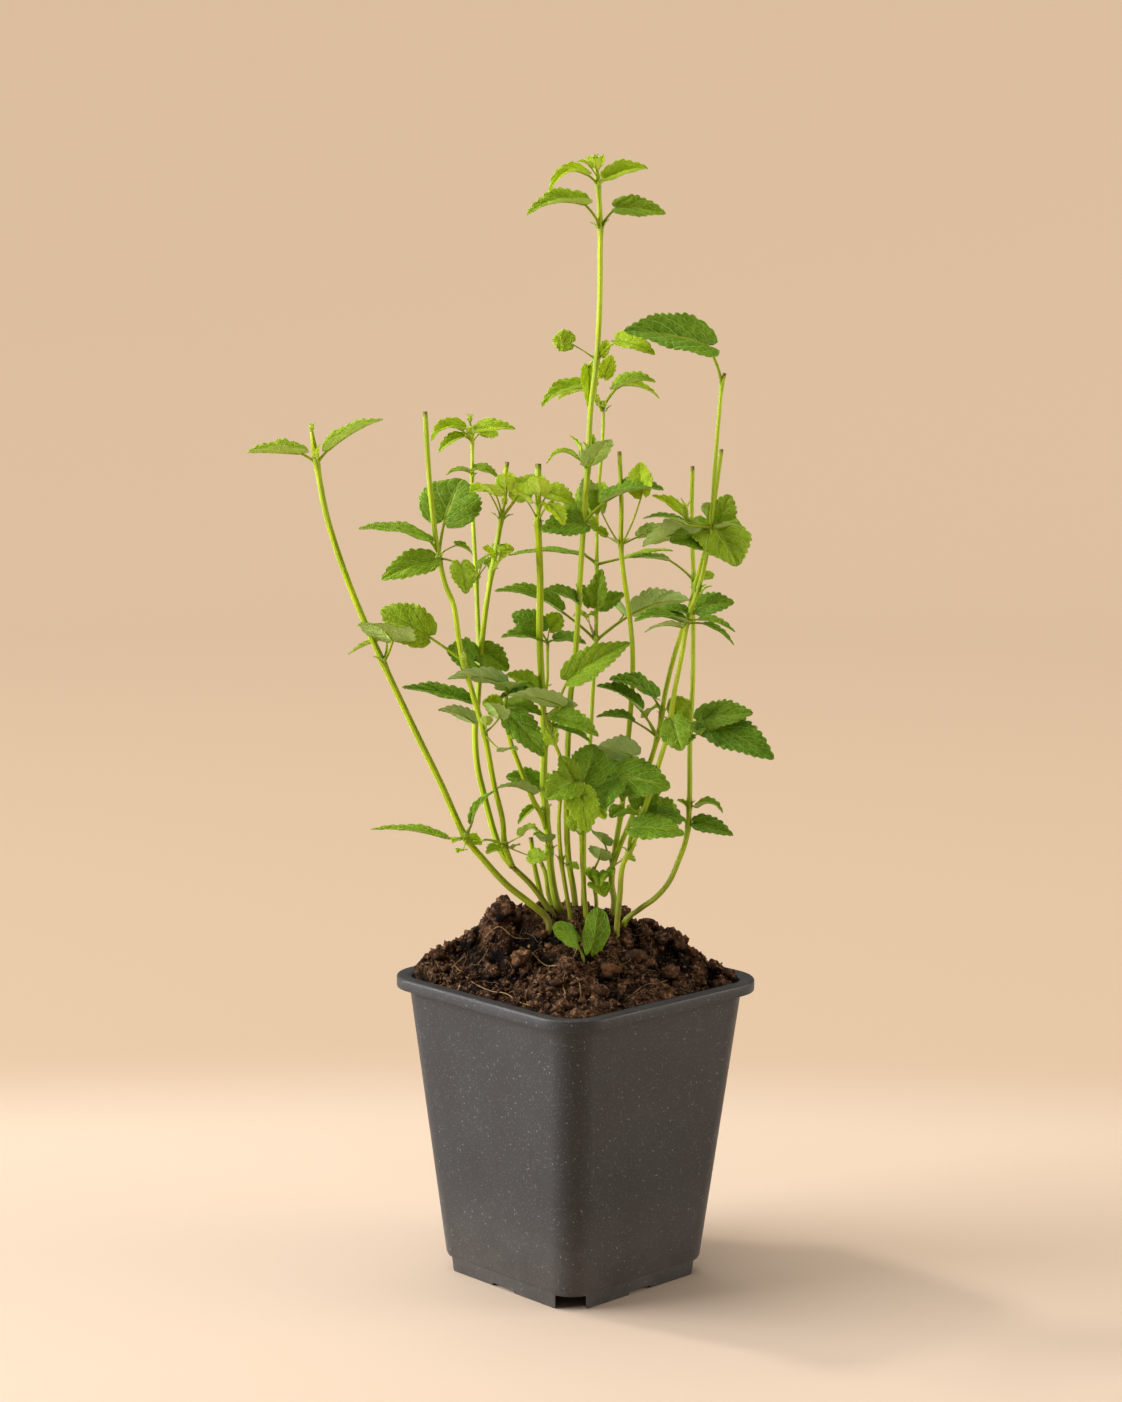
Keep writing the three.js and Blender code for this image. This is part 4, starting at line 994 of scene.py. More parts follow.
# %% [markdown]
# ## The blade's relief
# Three or four veins leave the midrib on each side and slant forwards, and the blade puffs up between
# them. A picture of bumps would do from far away, but the puffs catch the light at the edge too, so they
# are part of the shape. One number that is whole on every vein places both the puffs and the paint.

# %% The blade's relief
def vein_number(u, v, length, width, luck):
    """A number that is whole along each side vein: veins * (1.02 u - a rise towards the edge), shifted a
    little between the two halves by luck."""
    veins = int(np.clip(round(2.2 + 0.055 * length), 3, 4))
    steep = min(1.05 * width / length, 0.8)
    forwards = u * 1.02 - steep * np.abs(v) ** 1.2 * (1 - 0.35 * u)
    return veins * forwards + 0.35 + 0.5 * (luck - 0.5) * np.sign(v)


def blade_rise(u, v, out, outline, vein, fold, width, luck, smooth):
    """How high each point stands over a flat leaf: the fold, plus the puffs between the veins, less the
    curl of the edge, plus a slow wave along the edge, less the groove over the midrib."""
    near = np.abs(v)
    widest = width / 2
    puff = (np.abs(np.sin(math.pi * vein)) ** 0.7 - 0.6) * min(0.11 * widest, 0.9)
    puff = puff * (1 - near ** 6) * np.clip(near / 0.15, 0, 1) * np.sqrt(outline / widest)
    if smooth:
        puff = puff * 0.4
    curl = (0.05 + 0.09 * luck) * near ** 3 * outline
    wave = 0.07 * outline * np.sin(2 * math.pi * (2.1 * u + 5 * luck) + 2.5 * v) * near ** 2
    groove = 0.28 * np.exp(-(near * outline / 0.55) ** 2) * min(1, widest / 4)
    groove = groove * np.sqrt(outline / widest)
    return (np.sqrt(out ** 2 + 0.12) - 0.346) * math.sin(fold) + puff - curl + wave - groove


print("veins on each side of a leaf of 30 by 16 mm:", math.floor(vein_number(1, 0, 30, 16, 0.5)))

# %% [markdown]
# ## Blade and stalk
# Now the pieces come together. The middle surface is arched and folded, its two faces lie half the
# thickness above and below it, and they meet in a thin edge. The stalk could be a straight peg, but the
# real one bends up to the blade and runs on under it as the raised midrib, so it is one long tube.

# %% Blade and stalk
# Thickness of the blade, height of a vein below it, and radius of a long leaf's stalk
BLADE = 0.3
VEIN_RIDGE = 0.16
STALK = 0.52
STALK_STEPS, RIB_STEPS = 9, 12


def blade_skin(start, tip, width, lean, lies, youth, luck, smooth=False):
    """A closed shell round the middle surface: start + axis * along + face * 4 arch length u (1 - u)
    + side * out * cos(fold) + above * rise. It is thinner at the edge and at both ends, and its veins
    stand proud below. place is (vein number, v, u), tint is (youth, upper side, luck)."""
    start, tip = np.asarray(start, float), np.asarray(tip, float)
    length = np.linalg.norm(tip - start)
    axis, face, side = leaf_frame(start, tip, lean)
    fold, arch = math.radians(lies[0]), lies[1]
    u, teeth = leaf_rows(length, width, smooth)
    columns = COLUMNS[max(least for least in COLUMNS if length >= least)]
    v = np.array(columns + [-c for c in columns[-2::-1]])[None]
    near = np.abs(v)
    round_base = np.clip(width / length - 0.12, 0, 0.55)
    outline = blade_outline(u, width, round_base, smooth)
    along, out = blade_edge(u, near, outline, teeth, length, width, round_base, smooth)
    vein = vein_number(u, v, length, width, luck)
    rise = blade_rise(u, v, out, outline, vein, fold, width, luck, smooth)

    slope = np.arctan(4 * arch * (1 - 2 * u))[..., None]
    above = face * np.cos(slope) - axis * np.sin(slope)
    middle = (start + axis * along[..., None] + face * (4 * arch * length * u * (1 - u))[..., None]
              + side * (np.sign(v) * out * math.cos(fold))[..., None] + above * rise[..., None])
    normal = unit(np.cross(np.gradient(middle, axis=1), np.gradient(middle, axis=0)))
    normal = normal * np.sign((normal * above).sum(-1, keepdims=True) + 1e-9)

    thick = BLADE * (1 - 0.6 * near ** 4) * np.clip(np.minimum(u, 1 - u) / 0.02, 0, 1)
    ridge = VEIN_RIDGE * np.exp(-(np.sin(math.pi * vein) / 0.3) ** 2) * (1 - near ** 2)
    ridge = ridge * min(1, width / 2 / 5)
    upper = middle + normal * (thick / 2)[..., None]
    lower = middle - normal * (thick / 2 + ridge * thick / BLADE)[..., None]
    points = np.concatenate([upper, lower[:, ::-1]], axis=1)
    wide = [np.broadcast_to(values, out.shape) for values in (vein, v, u)]
    place = np.stack([np.concatenate([values, values[:, ::-1]], axis=1) for values in wide], axis=-1)
    upside = np.concatenate([np.ones(out.shape), np.zeros(out.shape)], axis=1)
    tint = np.stack([np.full_like(upside, youth), upside, np.full_like(upside, luck)], axis=-1)
    return skin(points, place, tint, 0)


def stalk_skin(root, start, tip, lean, lies, youth, luck):
    """The stalk leaves the stem along its leaf's pair, bends up to the blade, and runs on under it as
    the raised midrib, getting thinner all the way."""
    root, start, tip = (np.asarray(p, float) for p in (root, start, tip))
    axis, face, _ = leaf_frame(start, tip, lean)
    length, reach = np.linalg.norm(tip - start), np.linalg.norm(start - root)
    middle = (root + start) / 2 - 0.15 * reach * axis
    t = np.linspace(0, 1, STALK_STEPS)[:, None]
    stalk = (1 - t) ** 2 * root + 2 * t * (1 - t) * middle + t ** 2 * start
    share = np.linspace(0.04, 0.88, RIB_STEPS)[:, None]
    size = np.clip(0.3 + length / 26, 0.35, 1.15) * STALK
    under = BLADE * 0.5 + 0.22 * size
    height = 4 * lies[1] * length * share * (1 - share) - under * (1 - share)
    path = np.concatenate([stalk, start + axis * share * length + face * height])
    radius = size * np.concatenate([np.linspace(1.15, 0.85, STALK_STEPS),
                                    np.linspace(0.75, 0.22, RIB_STEPS)])
    level = np.concatenate([np.full(STALK_STEPS, 0.15), np.full(RIB_STEPS, 0.0)])
    foot = np.exp(-np.linspace(0, 6, len(path)) ** 2)
    place = np.stack([level, foot, np.zeros(len(path))], axis=-1)
    tint = np.broadcast_to([youth, 0, luck], path.shape)
    return tube_skin(path, radius, 8, 1.8, place=place, tint=tint, towards=face, finish=1)


sample = blade_skin([0, 0, 0], [30, 0, 0], 16, 0, FLAT, 0, 0.5)
print("points in a leaf of 30 by 16 mm:", sample["points"][..., 0].size)

# %% [markdown]
# ## Stems
# Mint stems are square with soft corners, swollen and darker where each pair of leaves stands, bright
# yellow-green above and brown at the foot. Some were pinched off and end in a dry brown tip, the others
# end in a bud of tiny folded leaves. Every number below is a place read from the front, in layout mm.

# %% Stems and their leaves
# route: points of the axis from the soil up. thick: half width at the foot and at the tip.
# leaves: [height of the node, start of the blade, tip of the blade, width, lean of its face to the
# front in degrees, how it lies]. A live stem ends in a bud, and the others were cut.
STEMS = {
  "stem_far_left": {
    "route": [[-11, -7, 144], [-17, -8, 150], [-27, -8, 158], [-36, -9, 168], [-43, -10, 177],
      [-53, -11, 199], [-64, -12, 222], [-75, -13, 246], [-87, -14, 274], [-96, -14, 301],
      [-100, -14, 322], [-102, -14, 335]],
    "thick": [1.75, 1.45],
    "live": True,
    "leaves": [
      [322, [-106, -15, 326], [-126, -18, 326.5], 14, 8, (44, 0.01), 0.5],
      [322, [-96, -13, 327], [-75, -10, 339], 12, 5, (46, 0.05), 0.5],
      [322, [-99, -18, 325], [-98, -20, 330], 4, 40, HALF],
      [246, [-71, -17, 255], [-78, -38, 264], 23, 0, FLAT],
      [246, [-74, -9, 255], [-89, -6, 248], 6, 0, (46, 0.04), 0.6],
      [246, [-76, -16, 247], [-78, -20, 249], 3, 0, HALF],
      [177, [-50, -11, 177], [-80, -14, 181], 9, 8, (28, 0.05), 0.3],
      [177, [-45, -14, 177], [-48, -20, 177], 5, 0, OPEN],
      [177, [-44, -14, 173], [-46, -19, 173], 5, 0, OPEN],
      [177, [-41, -7, 176], [-37, -3, 174], 6, 50, OPEN],
      [177, [-41, -8, 182], [-31, -14, 197], 6, 60, SHUT],
    ],
  },
  "stem_left_fork": {
    "route": [[-8, -1, 142], [-12, -1, 149], [-18, -1, 157], [-25, -2, 164]],
    "thick": [1.8, 1.4],
    "shoots": [
      {
        "route": [[-25, -2, 164], [-28, -4, 173], [-29, -7, 184], [-32, -10, 197], [-36, -14, 219],
          [-40, -16, 233], [-45, -16, 251], [-48, -15, 269], [-51, -14, 276], [-54, -13, 289],
          [-57, -12, 312], [-59, -12, 342]],
        "thick": [1.45, 1.25],
        "leaves": [
          [287, [-57, -14, 293], [-84, -20, 298], 14, 15, OPEN, 0.2],
          [286, [-56, -16, 286], [-75, -24, 279], 13, 45, OPEN, 0.3],
          [287, [-51.5, -7, 301.5], [-46, 9, 315], 25, 18, FLAT],
          [286, [-55, -17, 284], [-57, -22, 282], 5, 0, HALF],
          [286, [-45, -17, 284], [-43, -24, 274], 11, 0, OPEN, 0.45],
          [287, [-47, -10, 291], [-41, -7, 287], 6, 25, HALF, 0.4],
          [247, [-59, -12, 257], [-76, -8, 266], 17, 66, OPEN, 0.5],
          [219, [-35, -17, 223], [-35, -22, 227], 5, 0, OPEN],
          [219, [-30, -19, 226], [-34, -28, 233], 10, 0, OPEN],
          [219, [-29, -21, 213], [-23, -29, 215], 7, 0, OPEN],
          [173, [-30, -8, 172], [-35, -16, 172], 7, 20, HALF],
          [173, [-25, -5, 172], [-22, -8, 174], 4, 0, HALF],
          [173, [-21, -9, 178], [-15, -12, 180], 7, 0, BOW],
          [173, [-18, -10, 170], [-11, -14, 170], 7, 60, OPEN],
          [173, [-31, -9, 175], [-38, -14, 176], 3, 0, HALF],
        ],
      },
      {
        "route": [[-25, -2, 164], [-29, -1, 169], [-32, 1, 176], [-36, 3, 190], [-39, 3, 203],
          [-40, 3, 217], [-39, 3, 229], [-38, 3, 246], [-36, 2, 265], [-34, 1, 278], [-32, 1, 289],
          [-30, 2, 301], [-29, 2, 306]],
        "thick": [1.7, 1.25],
        "live": True,
        "leaves": [
          [300, [-36, -1, 312], [-42, -9, 311], 8, 20, OPEN, 0.85],
          [301, [-32, -7, 310], [-37, -17, 315], 9, 0, OPEN, 0.9],
          [301, [-28, -6, 312], [-29, -17, 319], 8, 0, OPEN, 0.9],
          [301, [-28, 8, 311], [-29, 17, 317], 9, 20, OPEN, 0.7],
          [301, [-24, -3, 310], [-23, -13, 315], 6, 0, HALF, 0.9],
          [300, [-24, 7, 308], [-17, 17, 316], 11, 25, OPEN, 0.6],
          [288, [-33, -4, 286], [-37, -8, 290], 7, 50, OPEN],
          [288, [-30, -2, 288], [-25, -4, 289], 6, 60, OPEN],
          [280, [-32, -3, 282], [-28, -9, 287], 7, 40, OPEN],
          [228, [-42, -4, 229.5], [-68, -10, 236], 13, 22, (26, 0.03), 0.05],
          [224, [-40, -5, 221.5], [-54, -12, 227.5], 8, -45, HALF],
          [240, [-41, 0, 245], [-51, -5, 250], 16, 60, OPEN, 0.1],
          [240, [-38, 4, 248.5], [-27, 3, 241], 12, 55, OPEN],
        ],
        "shoots": [{"route": [[-29, 2, 306], [-29, 3, 315], [-28, 4, 322]], "thick": [1.1, 1.2]}],
      },
      {
        "route": [[-38, 3, 246], [-39, 6, 256], [-40, 11, 275], [-41, 16, 290], [-42, 20, 306],
          [-42, 21, 321], [-42, 21, 328], [-43, 21, 337]],
        "thick": [1.3, 0.8],
        "live": True,
        "leaves": [
          [328, [-46, 20, 333], [-58, 16, 329], 9, 30, BOW, 0.75],
          [328, [-45, 17, 331], [-55, 10, 325], 7, 20, HALF, 0.7],
          [328, [-41, 20, 333], [-25, 16, 334], 8, 45, HALF, 0.75],
          [328, [-39, 24, 332], [-32, 31, 331], 6, 60, OPEN, 0.6],
          [328, [-43, 16, 332], [-42, 12, 335], 4, 0, SHUT],
          [315, [-43, 18, 317], [-52, 14, 316], 5, 0, SHUT, 0.5],
          [315, [-41, 20, 318], [-32, 18, 315], 7, 25, HALF, 0.45],
          [275, [-38, 8, 281], [-35, 3, 286], 6, 30, HALF],
          [275, [-36, 14, 281], [-32, 20, 282], 5, 20, HALF],
        ],
      },
    ],
  },
  "stem_centre_left": {
    "route": [[-5, 6, 141], [-8, 5, 150], [-10, 5, 161], [-11, 5, 174], [-13, 5, 193], [-13, 5, 213],
      [-14, 4, 233], [-15, 3, 253], [-15, 1, 277], [-16, -5, 300], [-16, -6, 306]],
    "thick": [2, 1.7],
    "live": True,
    "leaves": [
      [300, [-17, 1, 311], [-17, 12, 316], 10, 25, OPEN, 0.6],
      [300, [-20, -10, 308], [-25, -15, 312], 7, 20, HALF, 0.9],
      [300, [-15, -13, 311], [-16, -24, 318], 9, 0, OPEN, 0.9],
      [300, [-12, -5, 311], [-2, -9, 307], 10, 45, HALF, 0.8],
      [299, [-12, -12, 307], [-6, -22, 300], 9, 0, OPEN, 0.95],
      [304, [-17, -9, 313], [-17, -15, 318], 6, 0, HALF, 0.9],
      [233, [-16, 2, 234], [-28, -3, 240], 10, 48, HALF, 0.5],
      [233, [-17, -2, 231], [-30, -11, 232], 12, 25, SHUT],
      [212, [-12, 2, 216], [-8, -2, 213], 9, 50, OPEN],
      [196, [-15, 7, 195.5], [-28, 5, 198.5], 11, 50, OPEN],
      [195, [-17, -7, 194], [-31, -17, 198], 10, -20, HALF],
      [193, [-13, 9, 195], [-9, 14, 197], 7, 40, HALF],
      [185, [-17, 2, 187], [-23, -2, 181], 5, 30, SHUT],
      [173, [-12, 2, 175], [-17, -3, 177], 5, 20, HALF],
      [169, [-12, 0, 174], [-12, -8, 178], 8, 0, OPEN],
      [169, [-13, 0, 168], [-11, -8, 170], 7, 0, OPEN],
    ],
    "shoots": [
      {"route": [[-16, -6, 306], [-16, -5, 314], [-16, -4, 322]], "thick": [1, 1.7]},
      {
        "route": [[-12, 5, 178], [-14, 3, 184], [-17, 0, 190], [-22, -3, 203], [-26, -5, 214],
          [-28, -6, 223], [-30, -6, 229]],
        "thick": [1.4, 1.2],
        "leaves": [
          [226, [-31, -6, 227], [-37, -8, 230], 11, 55, OPEN],
          [227, [-27, -4, 228], [-14, -7, 225], 10, 30, HALF],
          [224, [-26, -10, 225], [-13, -20, 211], 13, 38, OPEN],
          [226, [-28, -12, 238], [-50, -22, 241], 10, -50, HALF],
          [226, [-27, -9, 235], [-23, -24, 240], 13, 0, FLAT],
        ],
      },
      {
        "route": [[-13, 5, 229], [-12, 7, 237], [-12, 8, 244], [-12, 9, 252]],
        "thick": [0.9, 0.8],
        "leaves": [
          [251, [-15, 10, 256], [-26, 13, 262], 12, 55, OPEN, 0.1],
          [251, [-11, 12, 257], [-7, 15, 262], 9, 50, OPEN],
          [251, [-15, 4, 253], [-30, -1, 254.5], 9, 28, HALF, 0.1],
          [251, [-9, 4, 253], [3, 0, 252], 8, 30, HALF, 0.1],
        ],
      },
    ],
  },
  "stem_tallest": {
    "route": [[0, 2, 144], [-1, 1, 154], [-3, 0, 166], [-4, 0, 182], [-4, -1, 202], [-3, -2, 230],
      [-1, -3, 250], [0, -4, 270], [1, -4, 289], [2, -3, 306], [3, -2, 320], [4, -1, 344],
      [6, 0, 361], [7, 0, 384], [7, 0, 403], [7, 0, 411], [6, 0, 427], [5, 0, 436]],
    "thick": [1.6, 1.25],
    "live": True,
    "leaves": [
      [427, [2, -2, 431], [-13, -8, 424], 8, 28, BOW, 0.95],
      [427, [9, 2, 430], [25, 6, 434], 10, 40, HALF, 0.8],
      [430, [3, -3, 434], [-2, -6, 436], 4, 20, SHUT],
      [431, [4, 4, 435], [2, 9, 438], 4, 20, SHUT],
      [432, [7, 3, 435], [8, 5, 439], 3, 20, SHUT],
      [432, [5, -4, 434], [4, -9, 437], 5, 0, HALF],
      [411, [1, -3, 420], [-21, -10, 416], 13, 25, SHUT, 0.5],
      [411, [13, 2, 419], [32, 5, 417], 11, 50, OPEN, 0.35],
      [361, [-4.5, 1, 368], [-11, 2, 369], 9.5, 66, OPEN],
      [361, [14, -2, 369], [28, -8, 364], 10, 45, HALF, 0.8],
      [361, [8, 4, 363], [10, 8, 369], 5, 30, HALF, 0.8],
      [361, [3, 11, 358.5], [3, 4, 343], 8, 10, HALF, 0.95],
      [361, [9, 7, 355], [12, 12, 363], 7, 40, OPEN, 0.9],
      [320, [-1, -2, 324], [-13, -4, 322], 5, 10, BOW, 0.7],
      [320, [0, -3, 325], [-4, -5, 333], 4, 40, SHUT, 0.85],
      [320, [2, -7, 325], [1, -11, 331], 3.5, 40, SHUT, 0.85],
      [320, [4, 3, 326], [5, 6, 333], 4, 30, SHUT, 0.6],
      [321, [4.5, -9, 323], [11, -20, 332.5], 13, 0, FLAT],
      [299, [10.5, -8, 308.5], [32, -12, 313], 15, 16, HALF, 0.1],
      [299, [1, -5, 299], [-15, -10, 297], 13, 50, OPEN],
      [299, [0, -2, 301], [-7, 2, 305], 12, 50, OPEN],
      [299, [4, -1, 299], [6, 3, 301], 6, 50, OPEN],
      [269, [-1, -5, 269], [-14, -10, 274], 9, 35, HALF],
    ],
  },
  "stem_centre_back": {
    "route": [[3, 9, 144], [3, 10, 156], [3, 12, 176], [4, 14, 196], [5, 15, 210], [6, 16, 232],
      [7, 16, 251], [7, 17, 267], [7, 17, 281], [7, 17, 303], [8, 16, 318], [9, 15, 334],
      [9, 15, 343]],
    "thick": [1.4, 0.8],
    "live": True,
    "leaves": [
      [342, [14, 13, 350], [29, 8, 353], 10, 30, SHUT, 0.45],
      [342, [15, 18, 351], [31, 20, 346], 6, 20, SHUT, 0.75],
      [342, [1, 16, 350], [-15, 10, 343], 11, 20, SHUT, 0.65],
      [342, [3, 20, 349], [-9, 24, 345], 7, -30, HALF, 0.9],
      [341, [6, 12, 345], [4, 8, 349], 4, 0, HALF],
      [304, [3, 18, 302], [2, 24, 313], 11, 50, OPEN],
      [304, [9, 21, 305], [9, 25, 313], 10, 40, OPEN],
      [304, [4, 10, 305], [2, 0, 317], 8, 0, OPEN, 0.3],
      [281, [2, 16, 285], [-28, 12, 285], 12, 3, FLAT, 0.2],
      [281, [19, 18, 284], [37, 16, 287], 10, 2, FLAT, 0.5],
      [264, [7, 12, 266], [9, 12, 280], 9, 70, OPEN, 0.35],
      [264, [4, 14, 266], [-1, 14, 274], 7, 60, HALF, 0.3],
      [264, [9, 15, 265], [18, 14, 270], 8, 60, OPEN, 0.3],
      [251, [-7, 15, 263], [-33, 12, 271], 13, 22, HALF, 0.2],
      [251, [3, 17, 260], [-2, 20, 260], 4, 20, BOW],
      [251, [4, 13, 261], [7, 10, 261], 4, 20, BOW],
      [252, [18, 21, 261], [8, 25, 267], 12, -30, OPEN],
      [251, [22, 12, 263], [43, 5, 269], 14, -50, HALF, 0.2],
    ],
  },
  "stem_right_fork": {
    "route": [[14, 0, 142], [15, 1, 150], [14, 2, 156], [14, 2, 163]],
    "thick": [1.6, 1.6],
    "leaves": [
      [163, [11, 0, 173], [6, -10, 180], 9, 10, OPEN],
      [163, [19, 1, 167], [23, -4, 167], 5, 20, HALF],
    ],
    "shoots": [
      {
        "route": [[14, 2, 163], [16, 3, 176], [18, 3, 190], [19, 3, 204], [20, 2, 217], [21, 0, 234],
          [21, -2, 250], [19, -3, 268], [17, -4, 281], [16, -5, 291], [16, -5, 308], [15, -5, 327]],
        "thick": [1.5, 1.1],
        "leaves": [
          [291, [8, 6, 304], [7, 8, 314], 9, 50, HALF, 0.3],
          [291, [10, 3, 294], [4, 4, 297], 5, 40, HALF],
          [291, [24, -9, 312], [23, -5, 323], 12, 45, OPEN, 0.85],
          [291, [23, 0, 294], [34, -4, 298], 7, -50, HALF, 0.4],
          [189, [13, -1, 200], [10, 3, 208], 13, 40, OPEN],
          [190, [16, -7, 201], [36, -13, 198], 18, 52, FLAT, 0.15],
          [189, [14, -9, 198], [10, -22, 191], 13, 0, OPEN],
          [190, [20, 9, 200], [23, 17, 205], 11, 30, OPEN],
          [194, [21, -4, 209], [8, -7, 213], 14, -60, OPEN],
          [185, [18, -1, 187], [13, -8, 185], 9, 20, OPEN],
          [185, [20, 0, 187], [25, -4, 185], 7, 20, OPEN],
        ],
      },
      {
        "route": [[14, 2, 163], [17, 1, 172], [22, 0, 185], [25, 1, 196], [29, 2, 207], [32, 3, 219],
          [34, 4, 232], [38, 5, 249], [43, 7, 265], [47, 9, 280], [51, 11, 296], [53, 12, 311],
          [55, 13, 327]],
        "thick": [1.4, 1.1],
        "leaves": [
          [215, [22, -2, 222], [7, -10, 225], 7, 30, HALF],
          [215, [24, -3, 227], [7, -9, 237], 11, 30, HALF],
          [215, [27, 5, 223], [32, -2, 228], 7, 20, HALF],
          [224, [29, -2, 232], [12, -5, 239], 13, 30, HALF],
          [275, [49, 13, 277], [53, 16, 278], 5, 40, OPEN],
        ],
      },
    ],
  },
  "stem_right_tall": {
    "route": [[16, -7, 142], [17, -8, 154], [18, -8, 166], [22, -8, 175], [25, -8, 185], [28, -8, 194],
      [32, -8, 208], [35, -8, 219], [37, -7, 233], [40, -6, 249], [42, -5, 262], [46, -4, 274],
      [49, -3, 287], [51, -2, 305], [52, -2, 326], [53, -2, 341], [54, -2, 353], [55, -2, 357]],
    "thick": [1.5, 1],
    "leaves": [
      [352, [48, -4, 367.5], [16, -14, 373], 22, 45, (20, 0.05), 0.1],
      [297, [53.5, 0, 299], [58, 5, 310], 12, 35, OPEN, 0.5],
      [297, [51.5, 3, 298], [60.5, -8, 283.5], 26, 10, FLAT],
      [297, [54, -4, 298], [62, -8, 299], 8, 0, HALF, 0.3],
      [297, [44, -5, 295.5], [24, -14, 291.5], 15, -52, HALF],
      [297, [48.5, 0, 291.5], [34.5, -9, 293], 15, 52, HALF],
      [298, [50, 4, 302.5], [49, -1, 307.5], 6, 0, OPEN, 0.4],
      [299, [40, -8, 301], [38.5, -11, 310], 3.5, 35, HALF, 0.95],
      [299, [40, -8, 301], [36.5, -10, 309], 3, 35, HALF, 0.9],
      [299, [41, -8, 302], [42.5, -10, 309], 3.5, 35, HALF, 0.95],
      [298, [40, -5, 302.5], [27.5, -7, 310.5], 7, 45, HALF, 0.95],
      [298, [41, -10, 299.5], [24, -17, 302.5], 6, 14, HALF, 0.1],
      [273, [47, -6, 273], [51, -9, 276], 3, 20, HALF],
      [263, [46, -1, 266.5], [60, -3, 269], 11, 52, OPEN, 0.1],
      [262, [40, -8, 262], [21, -16, 263], 12, 14, HALF, 0.1],
      [263, [42, -5, 265], [31, -4, 266], 6, 30, HALF, 0.1],
      [262, [40, -10, 260], [25, -18, 259], 6, -20, HALF],
      [262, [46, -9, 263], [60, -15, 259], 5.5, 20, HALF],
      [261, [48, -5, 261], [60, -9, 253], 4.5, 20, HALF],
      [225, [38, -3, 226], [44, -2, 230], 12, 55, FLAT],
      [223, [37, -11, 223], [40, -16, 213], 13, 45, (8, 0.06)],
      [186, [29, -6, 188], [41, -6, 183], 14, 45, OPEN],
      [187, [25, -5, 190], [28, -3, 202], 13, 60, OPEN],
      [172, [22, -13, 182], [41.5, -20, 181], 13, 42, OPEN],
      [172, [26, -8, 186.5], [42.5, -10, 184.5], 10, 30, OPEN],
    ],
  },
  "stem_right_arch": {
    "route": [[19, -2, 142], [25, -4, 148], [31, -6, 153], [36, -6, 159], [40, -5, 168], [43, -3, 177],
      [44, 0, 193], [44, 5, 213], [45, 10, 237], [45, 14, 257], [45, 16, 275], [44, 17, 299],
      [44, 17, 320]],
    "thick": [1.5, 1.1],
    "leaves": [
      [275, [35, 9, 284], [20, 3, 285.5], 6, 14, (40, 0.03), 0.1],
      [220, [48, 2, 222], [68, -4, 226], 14, 50, OPEN],
      [219, [50, 0, 221], [76, -10, 209], 18, 45, OPEN],
      [218, [46, 0, 219], [47, -9, 218], 8, 0, OPEN],
      [218, [42, 2, 216], [42, -9, 214], 9, 0, OPEN],
      [189, [43, 0, 188], [39, -1, 191], 4, 30, HALF],
      [189, [47, -1, 188], [57, -4, 186.5], 6, 15, BOW, 0.4],
      [181, [46, -2, 182], [61, -6, 178], 9, 50, HALF],
    ],
  },
  "stem_inner": {
    "route": [[-2, -4, 143], [-4, -5, 155], [-6, -6, 168], [-7, -8, 184], [-6, -8, 206],
      [-10, -8, 217], [-12, -8, 226]],
    "thick": [1.2, 0.9],
    "leaves": [
      [225, [-6, -13, 229.5], [-27, -22, 235], 11, -40, OPEN],
      [225, [-8, -8, 228.5], [0, -13, 230], 8, -40, OPEN],
      [225, [-9, -12, 225], [8, -20, 219], 11, 35, HALF],
      [223, [-9, -11, 221], [5, -16, 216], 7, 20, HALF],
      [217, [-4, -12, 239.5], [20, -6, 253.5], 14, 52, (22, 0.08)],
      [167, [-3, -7, 166], [1, -10, 165], 5, 20, OPEN],
    ],
  },
  "stem_middle": {
    "route": [[4, -4, 143], [3, -6, 156], [2, -8, 172], [2, -10, 188], [1, -11, 198]],
    "thick": [1.3, 1.1],
    "leaves": [
      [197, [3, -11, 201], [7, -3, 213], 17, 35, OPEN, 0.1],
      [197, [-2, -14, 202], [-7, -13, 210], 9, 60, OPEN],
      [197, [-2, -15, 200], [-12, -23, 195], 15, 40, OPEN, 0.3],
      [197, [1, -17, 197], [4, -28, 183], 13, 8, FLAT, 0.6],
      [192, [4, -12, 193], [11, -16, 186], 10, 30, OPEN, 0.7],
      [178, [0, -12, 182], [0, -10, 190], 8, 10, FLAT],
    ],
  },
  "low_sprout": {
    "route": [[8, 5, 142], [8, 5, 149], [7, 5, 157], [7, 4, 163]],
    "thick": [1.2, 0.9],
    "leaves": [
      [162, [9, 1, 167], [9, -13, 174], 10, 20, FLAT],
      [157, [9, -3, 162], [9, -11, 158], 7, 0, HALF],
      [157, [11, -1, 159], [15, -6, 163], 9, 40, OPEN],
      [155, [8, -3, 157], [11, -10, 154], 10, 0, OPEN],
      [156, [6, 6, 158], [3, 8, 161], 6, 30, BOW],
    ],
  },
  "stub_left": {
    "route": [[-12, 10, 143], [-14, 9, 151], [-17, 7, 165], [-18, 7, 174]],
    "thick": [1.4, 1.3],
  },
  "stub_brown": {
    "route": [[-9, 14, 143], [-11, 13, 150], [-12, 12, 158], [-14, 12, 163]],
    "thick": [1.4, 1.2],
  },
  "basal_leaf_left": {
    "route": [[3, -17, 130], [2, -17, 134], [0, -18, 136]],
    "thick": [0.9, 0.8],
    "smooth": True,
    "leaves": [[135, [0, -19, 138], [-9, -22, 145], 10, 52, FLAT, 0.1]],
  },
  "basal_leaf_right": {
    "route": [[7, -14, 129], [7, -15, 131], [6, -16, 133]],
    "thick": [0.9, 0.8],
    "smooth": True,
    "leaves": [[132, [6, -16, 134.5], [8.5, -13, 150.5], 12, 66, FLAT, 0.1]],
  },
}
print("stems:", len(STEMS))

